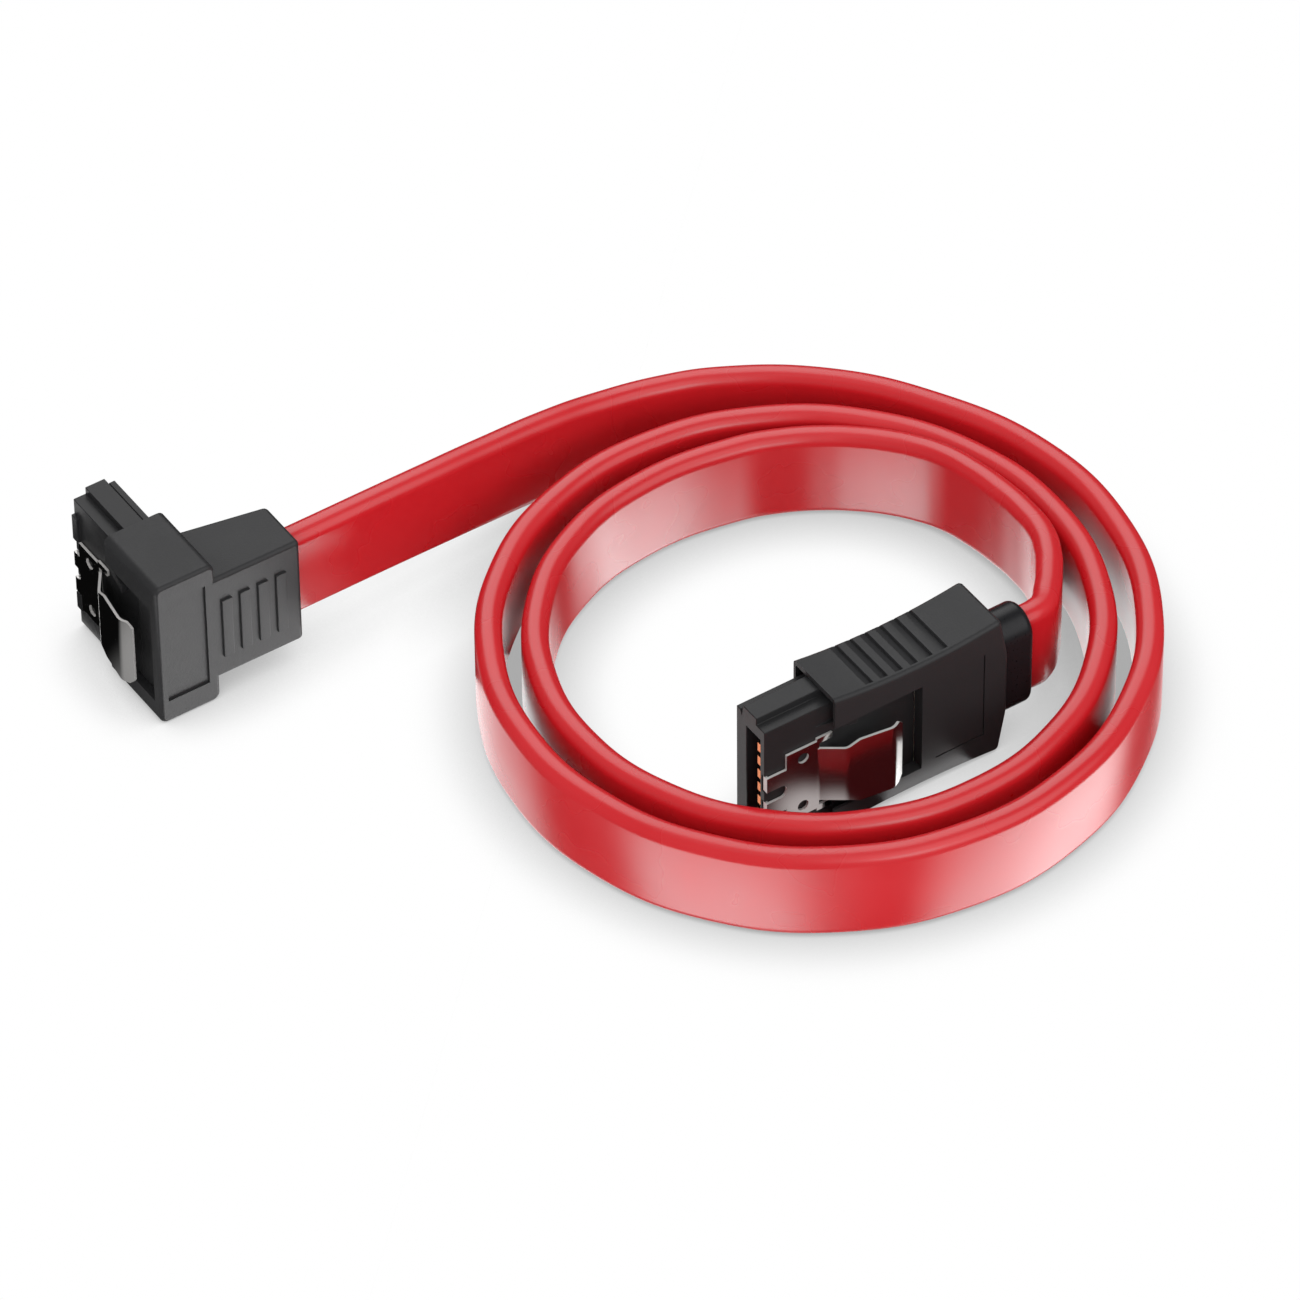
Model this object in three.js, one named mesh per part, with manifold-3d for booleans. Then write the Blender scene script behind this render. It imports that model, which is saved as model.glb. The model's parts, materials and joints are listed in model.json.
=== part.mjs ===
// A flat serial data cable with a straight plug at one end and a right-angled
// plug at the other. Units are millimetres and +Z is up. The cable lies on
// edge on the floor in a loose coil of about two turns.
//
// Each plug is built in its own frame: +X is the way that it mates, +Y is out
// of the side with the spring latch, and X is zero at the hood's mouth, Y at
// the nose's latch face and Z at the floor.

import * as THREE from 'three';
import { mergeVertices } from 'three/addons/utils/BufferGeometryUtils.js';
import Module from 'manifold-3d';

const wasm = await Module();
wasm.setup();

// Clearances
const FIT = 0.05;
const SOCKET_CLEARANCE = 0.15;
const CABLE_END_GAP = 0.3;
const CUT_OVERRUN = 1.0;

// Flat cable
const CABLE_WIDTH = 7.5;
const CABLE_THICKNESS = 2.0;
const CABLE_CORNER = 0.85;
const CABLE_STEPS = 80;
const END_STEPS = 7;
const END_LENGTH = 11;
const CORNER_STEPS = 2;
const SOCKET_STEPS = 4;

// Nose of the moulded insulator, the same in both plugs
const NOSE_REACH = 5.25;
const NOSE_THICKNESS = 3.42;
const SHOULDER_DROP = 0.6;
const LATCH_SHOULDER = 1.0;
const RIDGE_WIDTH = 1.6;
const NOTCH_WIDTH = 0.36;
const NOTCH_DEPTH = 0.35;
const BOTTOM_CHAMFER = 0.3;

// L-shaped mating slot in the nose
const SLOT_WALL = 0.5;
const SLOT_WIDTH = 1.7;
const SLOT_TOP_LAND = 1.65;
const SLOT_BOTTOM_LAND = 0.75;
const SLOT_KEY_REACH = 0.6;
const SLOT_KEY_HEIGHT = 1.1;
const SLOT_DEPTH = 5.9;

// Contacts
const CONTACT_COUNT = 7;
const CONTACT_PITCH = 1.27;
const CONTACT_HEIGHT = 0.78;
const CONTACT_THICKNESS = 0.35;
const STRAIGHT_CONTACT_TOP_LAND = 2.34;
const ANGLED_CONTACT_DROP = 0.115;
const CONTACT_SETBACK = 0.15;
const CONTACT_BOW = 0.15;
const BOW_LENGTH = 1.6;
const TAIL_LENGTH = 1.3;

// Wires between the contact tails and the end of the cable
const WIRE_KINDS = ['drain', 'signal', 'signal', 'drain', 'signal', 'signal', 'drain'];
const WIRE_DIAMETERS = { signal: 0.75, drain: 0.5 };
const WIRE_CLEARANCE = 0.1;
const WIRE_PITCH = 1.05;
const WIRE_SIDES = 8;
const WIRE_STRAIGHT = 0.8;

// Stamped spring latch
const SHEET = 0.2;
const PLATE_HEIGHT = 6.5;
const PLATE_LENGTH = 2.75;
const HOLE_DIAMETER = 0.9;
const HOLE_SIDES = 12;
const HOLE_INSET_Z = 0.95;
const HOLE_INSET_X = 1.35;
const CLAW_HEIGHT = 1.35;
const CLAW_GAP = 1.1;
const CLAW_TOP_DROP = 1.35;
const CLAW_WRAP = 0.25;
const BARB_LENGTH = 1.1;
const BARB_HEIGHT = 0.5;
const NECK_HEIGHT = 5.0;
const NECK_RISE = 1.15;
const NECK_RUN = 1.65;
const TAB_HEIGHT = 5.9;
const TAB_RISE = 0.5;
const TAB_RUN = 3.55;
const FLARE_RUN = 0.97;
const LIP_FALL = 0.45;
const LIP_RUN = 0.9;
const LIP_CORNER = 0.45;

// Hood of the straight plug
const HOOD_LENGTH = 14.1;
const HOOD_HEIGHT = 12.6;
const HOOD_THICKNESS = 5.1;
const HOOD_LATCH_WALL = 1.0;
const HOOD_WAIST_TOP = 0.55;
const HOOD_WAIST_BOTTOM = 0.32;
const HOOD_ROUND = 0.5;
const REAR_BULGE = 0.65;
const REAR_TAPER = 3.5;
const WAIST_STEPS = 12;
const MOUTH_WALL = 0.25;
const MOUTH_DEPTH = 2.0;
const POCKET_LENGTH = 7.4;
const POCKET_BOTTOM = 1.95;
const POCKET_TOP = 9.9;
const GRIP_COUNT = 6;
const GRIP_PITCH = 1.26;
const GRIP_START = 3.45;
const GRIP_SLOPE = 0.6;
const GRIP_DEPTH = 0.25;
const GRIP_EDGE = 0.45;
const LINE_WIDTH = 0.12;
const LINE_DEPTH = 0.12;
const LINE_BACK = 12.6;
const LINE_FRONT = 8.6;
const LINE_TOP = 10.1;
const LINE_BOTTOM = 2.3;

// Insulator base and moulded core of the straight plug
const STRAIGHT_BASE_LENGTH = 7.4;
const STRAIGHT_BASE_INSET = 0.95;
const STRAIGHT_CORE_LENGTH = 4.5;
const STRAIGHT_CORE_COVER = 0.2;
const STRAIGHT_NOSE_BOTTOM = 0.25;
const STRAIGHT_NOSE_HEIGHT = 11.9;
const STRAIGHT_LATCH_BOTTOM = 2.1;
const STRAIGHT_LATCH_BACK = 0.8;

// Strain relief of the straight plug
const RELIEF_REACH = 3.35;
const RELIEF_HEIGHT = 8.8;
const RELIEF_THICKNESS = 3.6;
const RELIEF_ROUND = 0.55;
const RELIEF_COLLAR = 0.8;
const RELIEF_COLLAR_STEP = 0.4;
const RELIEF_AXIS_Y = -1.35;
const RELIEF_AXIS_Z = 6.25;
const ARC_STEPS = 8;

// Hood of the right-angled plug
const FLANGE_WIDTH = 4.95;
const FLANGE_DEPTH = 6.71;
const FLANGE_HEIGHT = 13.05;
const FLANGE_LATCH_WALL = 0.675;
const FLANGE_CORNER = 0.6;
const BLOCK_LENGTH = 7.04;
const BLOCK_BOTTOM = 2.05;
const BLOCK_HEIGHT = 9.49;
const BLOCK_DEPTH_FRONT = 5.8;
const BLOCK_DEPTH_EXIT = 4.45;
const BLOCK_CORNER = 0.35;
const FACE_ROUND = 0.3;
const WINDOW_BOTTOM = 1.8;
const WINDOW_TOP = 10.6;
const WINDOW_WALL = 0.8;
const PANEL_INSET = 0.66;
const PANEL_WIDTH = 3.44;
const PANEL_BOTTOM = 2.0;
const PANEL_TOP = 11.4;
const PANEL_DEPTH = 0.18;
const RIB_COUNT = 4;
const RIB_PITCH = 1.5;
const RIB_START = 5.32;
const RIB_WIDTH = 0.85;
const RIB_BOTTOM = 3.95;
const RIB_TOP = 9.37;
const RIB_RISE = 0.18;

// Insulator base and moulded core of the right-angled plug
const ANGLED_NOSE_MARGIN = 0.1;
const ANGLED_LATCH_BOTTOM = 2.33;
const ANGLED_LATCH_BACK = 1.7;
const ANGLED_BASE_LENGTH = 3.2;
const ANGLED_BASE_INSET = 0.95;
const ANGLED_CORE_COVER = 0.3;
const ANGLED_CORE_WALL = 0.7;
const ANGLED_CORE_LENGTH = 8.3;
const ANGLED_CORE_BACK_WALL = 1.16;
const ANGLED_SHOULDER = 3.9;
const TIP_PAD_LENGTH = 0.7;
const TIP_PAD_RISE = 0.25;
const TIP_PAD_UPPER = 2.3;
const TIP_PAD_UPPER_GAP = 1.2;
const TIP_PAD_LOWER = 1.5;
const TIP_PAD_LOWER_GAP = 0.2;

// Latch guard, the small wedge on the nose beside the tab
const GUARD_GAP = 0.5;
const GUARD_HEIGHT = 0.8;
const GUARD_FRONT = 1.4;
const GUARD_BACK = -1.3;
const GUARD_RISE = 0.6;

// Where the cable leaves each plug, and its turns on the floor
const STRAIGHT_EXIT = new THREE.Vector3(26.0, -21.0, RELIEF_AXIS_Z);
const ANGLED_EXIT = new THREE.Vector3(-12.76, 14.27, BLOCK_BOTTOM + BLOCK_HEIGHT / 2);
const FLOOR_AXIS = CABLE_WIDTH / 2;
const COIL_CENTRE = new THREE.Vector2(14.76, -10.97);
const COIL_RADIUS = 25.22;
const COIL_PITCH = 3.31;
const COIL_START = THREE.MathUtils.degToRad(55);
const COIL_END = THREE.MathUtils.degToRad(715);
const COIL_POINTS = 30;

const noseFarY = -NOSE_THICKNESS;
const slotFarY = -SLOT_WALL - SLOT_WIDTH;
const contactY = -SLOT_WALL - FIT - CONTACT_THICKNESS / 2;
const contactSpan = (CONTACT_COUNT - 1) * CONTACT_PITCH + CONTACT_HEIGHT;
const slotFloorX = NOSE_REACH - SLOT_DEPTH;

const black = new THREE.MeshStandardMaterial({ color: 0x2b2b2c, roughness: 0.55, metalness: 0 });
const glossBlack = new THREE.MeshStandardMaterial({ color: 0x1c1c1e, roughness: 0.3, metalness: 0 });
const red = new THREE.MeshStandardMaterial({ color: 0xd3262c, roughness: 0.3, metalness: 0 });
const steel = new THREE.MeshStandardMaterial({ color: 0xc8c8c8, roughness: 0.25, metalness: 1 });
const copper = new THREE.MeshStandardMaterial({ color: 0xd9824f, roughness: 0.3, metalness: 1 });
const tinned = new THREE.MeshStandardMaterial({ color: 0xb9b6ae, roughness: 0.4, metalness: 1 });
const sleeve = new THREE.MeshStandardMaterial({ color: 0xe6e2d8, roughness: 0.5, metalness: 0 });
const natural = new THREE.MeshStandardMaterial({ color: 0xd8d4c4, roughness: 0.6, metalness: 0 });

// Closed geometry to a solid that can be joined and cut
function solid(geometry) {
  const bare = geometry.index ? geometry.toNonIndexed() : geometry.clone();
  bare.deleteAttribute('normal');
  bare.deleteAttribute('uv');
  const merged = mergeVertices(bare, 1e-5);
  return new wasm.Manifold(new wasm.Mesh({
    numProp: 3,
    vertProperties: new Float32Array(merged.attributes.position.array),
    triVerts: new Uint32Array(merged.index.array),
  }));
}

function mesh(name, body, material) {
  const result = body.getMesh();
  const geometry = new THREE.BufferGeometry();
  geometry.setAttribute('position', new THREE.BufferAttribute(result.vertProperties, 3));
  geometry.setIndex(new THREE.BufferAttribute(result.triVerts, 1));
  geometry.computeVertexNormals();
  const made = new THREE.Mesh(geometry, material);
  made.name = name;
  return made;
}

function join(bodies) {
  return bodies.reduce((whole, body) => whole.add(body));
}

function cut(body, tools) {
  return tools.reduce((rest, tool) => rest.subtract(tool), body);
}

// Box between two corners
function block(x0, x1, y0, y1, z0, z1) {
  const geometry = new THREE.BoxGeometry(x1 - x0, y1 - y0, z1 - z0);
  geometry.translate((x0 + x1) / 2, (y0 + y1) / 2, (z0 + z1) / 2);
  return solid(geometry);
}

// Closed outline, without points that fall on the one before
function outline(points) {
  const corners = points.map(([u, v]) => new THREE.Vector2(u, v));
  return new THREE.Shape(corners.filter((corner, i) => (
    corner.distanceTo(corners[(i + 1) % corners.length]) > 1e-3)));
}

// Rectangle with round corners, each corner an arc of a few steps
function roundedRectangle(u0, u1, v0, v1, radius, steps = 3) {
  const points = [];
  const centres = [[u1 - radius, v1 - radius], [u0 + radius, v1 - radius],
    [u0 + radius, v0 + radius], [u1 - radius, v0 + radius]];
  centres.forEach(([u, v], quarter) => {
    for (let i = 0; i <= steps; i += 1) {
      const angle = (quarter + i / steps) * Math.PI / 2;
      points.push([u + radius * Math.cos(angle), v + radius * Math.sin(angle)]);
    }
  });
  return outline(points);
}

function extruded(shape, depth, round) {
  return new THREE.ExtrudeGeometry(shape, {
    depth: depth - 2 * round,
    bevelEnabled: round > 0,
    bevelThickness: round,
    bevelSize: round,
    bevelOffset: -round,
    bevelSegments: 3,
    curveSegments: 4,
  }).translate(0, 0, round);
}

// Shape drawn in X and Z, extruded from y0 to y1
function prismY(shape, y0, y1, round = 0) {
  return solid(extruded(shape, y1 - y0, round).rotateX(Math.PI / 2).translate(0, y1, 0));
}

// Shape drawn in Y and Z, extruded from x0 to x1
function prismX(shape, x0, x1, round = 0) {
  const geometry = extruded(shape, x1 - x0, round);
  return solid(geometry.rotateX(Math.PI / 2).rotateZ(Math.PI / 2).translate(x0, 0, 0));
}

// Shape drawn in X and Y, extruded from z0 to z1
function prismZ(shape, z0, z1) {
  return solid(extruded(shape, z1 - z0, 0).translate(0, 0, z0));
}

// Bent sheet of even thickness along a line of points
function strip(line, thickness) {
  const points = line.map(([u, v]) => new THREE.Vector2(u, v));
  const side = points.map((point, i) => {
    const before = points[Math.max(i - 1, 0)];
    const after = points[Math.min(i + 1, points.length - 1)];
    const into = (i > 0 ? point.clone().sub(before) : after.clone().sub(point)).normalize();
    const out = (i < points.length - 1 ? after.clone().sub(point) : into.clone()).normalize();
    const normal = new THREE.Vector2(-into.y - out.y, into.x + out.x).normalize();
    const mitre = normal.dot(new THREE.Vector2(-into.y, into.x));
    return normal.multiplyScalar(thickness / 2 / mitre);
  });
  const left = points.map((point, i) => point.clone().add(side[i]));
  const right = points.map((point, i) => point.clone().sub(side[i]));
  return new THREE.Shape(left.concat(right.reverse()));
}

// Insulator: the nose with its slot, and the base that the hood is moulded on

const noseTop = (plug) => plug.noseBottom + plug.noseHeight;

function noseShape(plug) {
  const bottom = plug.noseBottom;
  const top = noseTop(plug);
  const far = noseFarY;
  const ridge0 = -LATCH_SHOULDER;
  const ridge1 = ridge0 - RIDGE_WIDTH;
  const notch = ridge1 - NOTCH_WIDTH / 2;
  const shoulder = top - SHOULDER_DROP;
  return outline([[0, bottom + BOTTOM_CHAMFER], [0, shoulder], [ridge0, shoulder], [ridge0, top],
    [ridge1, top], [notch, shoulder - NOTCH_DEPTH], [ridge1 - NOTCH_WIDTH, shoulder],
    [far, shoulder], [far, bottom + BOTTOM_CHAMFER], [far + BOTTOM_CHAMFER, bottom],
    [-BOTTOM_CHAMFER, bottom]]);
}

function slotShape(plug) {
  const top = noseTop(plug) - SLOT_TOP_LAND;
  const low = plug.noseBottom + SLOT_BOTTOM_LAND;
  const keyFar = slotFarY - SLOT_KEY_REACH;
  const keyTop = low + SLOT_KEY_HEIGHT;
  return outline([[-SLOT_WALL, low], [-SLOT_WALL, top], [slotFarY, top], [slotFarY, keyTop],
    [keyFar, keyTop], [keyFar, low]]);
}

function baseBody(plug, grow = 0) {
  const z0 = plug.noseBottom + plug.baseInset - grow;
  const z1 = noseTop(plug) - plug.baseInset + grow;
  return block(-plug.baseLength - grow, -plug.noseSeat, noseFarY - grow, grow, z0, z1);
}

function contactLevels(plug) {
  const first = noseTop(plug) - plug.contactTopLand - CONTACT_HEIGHT / 2;
  return Array.from({ length: CONTACT_COUNT }, (_, i) => first - i * CONTACT_PITCH);
}

function contactBores(plug) {
  const half = CONTACT_HEIGHT / 2 + FIT;
  const y0 = contactY - CONTACT_THICKNESS / 2 - FIT;
  return contactLevels(plug).map((z) => (
    block(-plug.baseLength - CUT_OVERRUN, slotFloorX + CUT_OVERRUN, y0, -SLOT_WALL, z - half, z + half)));
}

function guardBody(plug) {
  const z0 = latchLevels(plug).top + GUARD_GAP;
  const wedge = outline([[GUARD_FRONT, -FIT], [GUARD_BACK, GUARD_RISE], [GUARD_BACK, -FIT]]);
  return prismZ(wedge, z0, z0 + GUARD_HEIGHT);
}

// Low pads on the nose beside the latch's claws, at the tip
function tipPads(plug) {
  const { clawTop, clawBottom } = latchLevels(plug);
  const x0 = NOSE_REACH - TIP_PAD_LENGTH;
  const upper = clawTop + TIP_PAD_UPPER_GAP;
  const lower = clawBottom - TIP_PAD_LOWER_GAP;
  const spans = [[upper, upper + TIP_PAD_UPPER], [lower - TIP_PAD_LOWER, lower]];
  return spans.map(([z0, z1]) => block(x0, NOSE_REACH, -FIT, TIP_PAD_RISE, z0, z1));
}

// Notches in the nose's front edge that the latch's claws wrap into
function clawNotches(plug) {
  return clawSpans(plug).map(([z0, z1]) => (
    block(NOSE_REACH - SHEET - 2 * FIT, NOSE_REACH + CUT_OVERRUN, -CLAW_WRAP - FIT, CUT_OVERRUN,
      z0 - FIT, z1 + FIT)));
}

function insulator(plug) {
  const nose = prismX(noseShape(plug), -plug.noseSeat, NOSE_REACH);
  const slot = prismX(slotShape(plug), slotFloorX, NOSE_REACH + CUT_OVERRUN);
  const extras = plug.hasTipPads ? tipPads(plug) : [];
  const whole = join([nose, baseBody(plug), guardBody(plug), ...extras]);
  return cut(whole, [slot, ...contactBores(plug), ...clawNotches(plug)]);
}

// Contact: a strip that bows into the slot near the tip and runs back through
// the base to its solder tail
function contactLine(plug) {
  const tip = NOSE_REACH - CONTACT_SETBACK;
  const bowed = contactY - CONTACT_BOW;
  return [[tip, bowed], [tip - BOW_LENGTH, bowed], [tip - 2 * BOW_LENGTH, contactY],
    [plug.tailEnd, contactY]];
}

function contact(plug, level) {
  const z0 = level - CONTACT_HEIGHT / 2;
  return prismZ(strip(contactLine(plug), CONTACT_THICKNESS), z0, z0 + CONTACT_HEIGHT);
}

// Wires: each runs from beside its contact tail to the end of the cable

function wireLevels(plug) {
  const middle = (CONTACT_COUNT - 1) / 2;
  return contactLevels(plug).map((_, i) => plug.cableZ + (middle - i) * WIRE_PITCH);
}

function wireRadius(index) {
  return WIRE_DIAMETERS[WIRE_KINDS[index % WIRE_KINDS.length]] / 2;
}

// Straight rod between two points, a little longer at each end
function rod(from, to, radius, overrun) {
  const along = to.clone().sub(from);
  const length = along.length() + 2 * overrun;
  const geometry = new THREE.CylinderGeometry(radius, radius, length, WIRE_SIDES);
  const up = new THREE.Vector3(0, 1, 0);
  geometry.applyQuaternion(new THREE.Quaternion().setFromUnitVectors(up, along.normalize()));
  const middle = from.clone().add(to).multiplyScalar(0.5);
  return solid(geometry.translate(middle.x, middle.y, middle.z));
}

function wireCorners(plug, index) {
  return plug.wireCorners(contactLevels(plug)[index], wireLevels(plug)[index]);
}

function wireBody(plug, index) {
  const corners = wireCorners(plug, index);
  const radius = wireRadius(index);
  const rods = corners.slice(1).map((corner, i) => rod(corners[i], corner, radius, 0));
  const knees = corners.slice(1, -1).map((corner) => (
    solid(new THREE.SphereGeometry(radius, WIRE_SIDES, WIRE_SIDES).translate(...corner.toArray()))));
  return join([...rods, ...knees]);
}

function wireBore(plug, index) {
  const corners = wireCorners(plug, index);
  const radius = wireRadius(index) + WIRE_CLEARANCE;
  return join(corners.slice(1).map((corner, i) => rod(corners[i], corner, radius, 2 * WIRE_CLEARANCE)));
}

// Core: the moulding that holds the solder joints and the wires
function core(plug) {
  const y0 = contactY - CONTACT_THICKNESS / 2 - FIT;
  const y1 = contactY + CONTACT_THICKNESS / 2 + FIT;
  const half = CONTACT_HEIGHT / 2 + FIT;
  const tails = contactLevels(plug).map((z) => (
    block(plug.tailEnd - FIT, 0, y0, y1, z - half, z + half)));
  const bores = contactLevels(plug).map((_, i) => wireBore(plug, i));
  return cut(plug.coreBody(0), [...tails, ...bores]);
}

// Spring latch: a stamped plate on the nose, two claws round its tip, two
// barbs, and the bent tab that the finger presses

function latchLevels(plug) {
  const bottom = plug.latchBottom;
  const top = bottom + PLATE_HEIGHT;
  const clawTop = top - CLAW_TOP_DROP;
  const lowerClawTop = clawTop - CLAW_HEIGHT - CLAW_GAP;
  return { bottom, top, clawTop, lowerClawTop, clawBottom: lowerClawTop - CLAW_HEIGHT };
}

function clawSpans(plug) {
  const { clawTop, lowerClawTop, clawBottom } = latchLevels(plug);
  return [[clawTop - CLAW_HEIGHT, clawTop], [clawBottom, lowerClawTop]];
}

function latchPlate(plug) {
  const { bottom, top } = latchLevels(plug);
  const back = plug.latchBack;
  const front = back + PLATE_LENGTH;
  const wrap = NOSE_REACH - FIT;
  const y0 = FIT;
  const y1 = FIT + SHEET;
  const plate = block(back, front, y0, y1, bottom, top);
  const middle = (bottom + top) / 2;
  const claws = clawSpans(plug).flatMap(([z0, z1]) => [
    block(front - SHEET, wrap, y0, y1, z0, z1),
    block(wrap - SHEET, wrap, y0 - CLAW_WRAP, y1, z0, z1)]);
  const barbs = [[top - BARB_HEIGHT / 2, top + BARB_HEIGHT / 2],
    [bottom - BARB_HEIGHT / 2, bottom + BARB_HEIGHT / 2]].map(([z0, z1]) => (
    block(back - BARB_LENGTH, back + SHEET, y0, y1, z0, z1)));
  const holeX = back + HOLE_INSET_X;
  const holes = [top - HOLE_INSET_Z, bottom + HOLE_INSET_Z].map((z) => {
    const drill = new THREE.CylinderGeometry(HOLE_DIAMETER / 2, HOLE_DIAMETER / 2, CUT_OVERRUN,
      HOLE_SIDES);
    return solid(drill.translate(holeX, y0, z));
  });
  const neck = block(back - 2 * FIT, back + SHEET, y0, y1, middle - NECK_HEIGHT / 2,
    middle + NECK_HEIGHT / 2);
  return cut(join([plate, ...claws, ...barbs, neck]), holes);
}

function latchTab(plug) {
  const { bottom, top } = latchLevels(plug);
  const middle = (bottom + top) / 2;
  const x0 = plug.latchBack;
  const x1 = x0 - NECK_RUN;
  const x2 = x1 - TAB_RUN;
  const x3 = x2 - LIP_RUN;
  const y0 = FIT + SHEET / 2;
  const y1 = y0 + NECK_RISE;
  const y2 = y1 + TAB_RISE;
  const y3 = y2 - LIP_FALL;
  const side = strip([[x0, y0], [x1, y1], [x2, y2], [x3, y3]], SHEET);
  const neck = NECK_HEIGHT / 2;
  const wide = TAB_HEIGHT / 2;
  const flare = x1 - FLARE_RUN;
  const end = x3 - SHEET;
  const face = outline([[x0 + SHEET, middle - neck], [x0 + SHEET, middle + neck],
    [x1, middle + neck], [flare, middle + wide], [end + LIP_CORNER, middle + wide],
    [end, middle + wide - LIP_CORNER], [end, middle - wide + LIP_CORNER],
    [end + LIP_CORNER, middle - wide], [flare, middle - wide], [x1, middle - neck]]);
  const blank = prismZ(side, middle - wide - SHEET, middle + wide + SHEET);
  return blank.intersect(prismY(face, -CUT_OVERRUN, y2 + CUT_OVERRUN));
}

function latch(plug) {
  return latchPlate(plug).add(latchTab(plug));
}

// Straight plug

const straightHoodY0 = HOOD_LATCH_WALL - HOOD_THICKNESS;
const straightCoreFront = -STRAIGHT_BASE_LENGTH - FIT;
const straightCoreBack = straightCoreFront - STRAIGHT_CORE_LENGTH;
const reliefFront = straightCoreBack - FIT;
const reliefBack = -HOOD_LENGTH - RELIEF_REACH;

const straight = {
  name: 'straight',
  noseBottom: STRAIGHT_NOSE_BOTTOM,
  noseHeight: STRAIGHT_NOSE_HEIGHT,
  noseSeat: MOUTH_DEPTH - FIT,
  baseLength: STRAIGHT_BASE_LENGTH,
  tailEnd: -STRAIGHT_BASE_LENGTH - TAIL_LENGTH,
  baseInset: STRAIGHT_BASE_INSET,
  latchBack: STRAIGHT_LATCH_BACK,
  latchBottom: STRAIGHT_LATCH_BOTTOM,
  contactTopLand: STRAIGHT_CONTACT_TOP_LAND,
  hasTipPads: false,
  cableZ: RELIEF_AXIS_Z,
  coreBody(grow) {
    const z0 = this.noseBottom + this.baseInset - grow;
    const z1 = noseTop(this) - this.baseInset + grow;
    return block(straightCoreBack - grow, straightCoreFront + grow, noseFarY + FIT - grow,
      grow - STRAIGHT_CORE_COVER, z0, z1);
  },
  wireCorners(contactZ, wireZ) {
    const y = RELIEF_AXIS_Y;
    const start = straightCoreFront - WIRE_STRAIGHT / 2;
    const end = straightCoreBack + FIT;
    return [new THREE.Vector3(start, y, contactZ), new THREE.Vector3(start - WIRE_STRAIGHT, y, contactZ),
      new THREE.Vector3(end + WIRE_STRAIGHT, y, wireZ), new THREE.Vector3(end, y, wireZ)];
  },
};

// How far the hood's top or bottom is drawn in at a distance behind the mouth
function waist(distance, depth) {
  const share = Math.min(Math.max(distance / HOOD_LENGTH, 0), 1);
  return depth * 4 * share * (1 - share);
}

function straightHoodOutline() {
  const points = [[CUT_OVERRUN, 0], [CUT_OVERRUN, HOOD_HEIGHT]];
  for (let i = 0; i <= WAIST_STEPS; i += 1) {
    const distance = (i / WAIST_STEPS) * HOOD_LENGTH;
    points.push([-distance, HOOD_HEIGHT - waist(distance, HOOD_WAIST_TOP)]);
  }
  points.push([-HOOD_LENGTH - REAR_BULGE, HOOD_HEIGHT - REAR_TAPER]);
  points.push([-HOOD_LENGTH - REAR_BULGE, REAR_TAPER]);
  for (let i = WAIST_STEPS; i >= 0; i -= 1) {
    const distance = (i / WAIST_STEPS) * HOOD_LENGTH;
    points.push([-distance, waist(distance, HOOD_WAIST_BOTTOM)]);
  }
  return outline(points.reverse());
}

// Saw-tooth grip grooves across the top of the hood
function gripGrooves() {
  return Array.from({ length: GRIP_COUNT }, (_, i) => {
    const distance = GRIP_START + i * GRIP_PITCH;
    const top = HOOD_HEIGHT - waist(distance, HOOD_WAIST_TOP);
    const tooth = outline([[-distance + GRIP_SLOPE, top + GRIP_DEPTH], [-distance + GRIP_SLOPE, top],
      [-distance, top - GRIP_DEPTH], [-distance - GRIP_DEPTH / 2, top + GRIP_DEPTH]].reverse());
    return prismY(tooth, straightHoodY0 - CUT_OVERRUN, HOOD_LATCH_WALL - GRIP_EDGE);
  });
}

function straightHood() {
  const plug = straight;
  const shell = prismY(straightHoodOutline(), straightHoodY0, HOOD_LATCH_WALL, HOOD_ROUND);
  const beyondMouth = block(0, 2 * CUT_OVERRUN, straightHoodY0 - CUT_OVERRUN,
    HOOD_LATCH_WALL + CUT_OVERRUN, -CUT_OVERRUN, HOOD_HEIGHT + CUT_OVERRUN);
  const mouth = block(-MOUTH_DEPTH, CUT_OVERRUN, straightHoodY0 + MOUTH_WALL,
    HOOD_LATCH_WALL - MOUTH_WALL, plug.noseBottom - FIT, noseTop(plug) + FIT);
  const pocket = block(-POCKET_LENGTH, CUT_OVERRUN, 0, HOOD_LATCH_WALL + CUT_OVERRUN,
    POCKET_BOTTOM, POCKET_TOP);
  const upright = block(-LINE_BACK - LINE_WIDTH, -LINE_BACK, HOOD_LATCH_WALL - LINE_DEPTH,
    HOOD_LATCH_WALL + CUT_OVERRUN, LINE_BOTTOM, LINE_TOP);
  const level = block(-LINE_BACK, -LINE_FRONT, HOOD_LATCH_WALL - LINE_DEPTH,
    HOOD_LATCH_WALL + CUT_OVERRUN, LINE_BOTTOM, LINE_BOTTOM + LINE_WIDTH);
  return cut(shell, [beyondMouth, mouth, baseBody(plug, FIT), pocket, plug.coreBody(FIT), reliefOuter(FIT),
    ...gripGrooves(), upright.add(level)]);
}

function stadium(height, thickness) {
  const half = thickness / 2;
  return roundedRectangle(RELIEF_AXIS_Y - half, RELIEF_AXIS_Y + half, RELIEF_AXIS_Z - height / 2,
    RELIEF_AXIS_Z + height / 2, half, ARC_STEPS);
}

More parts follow.
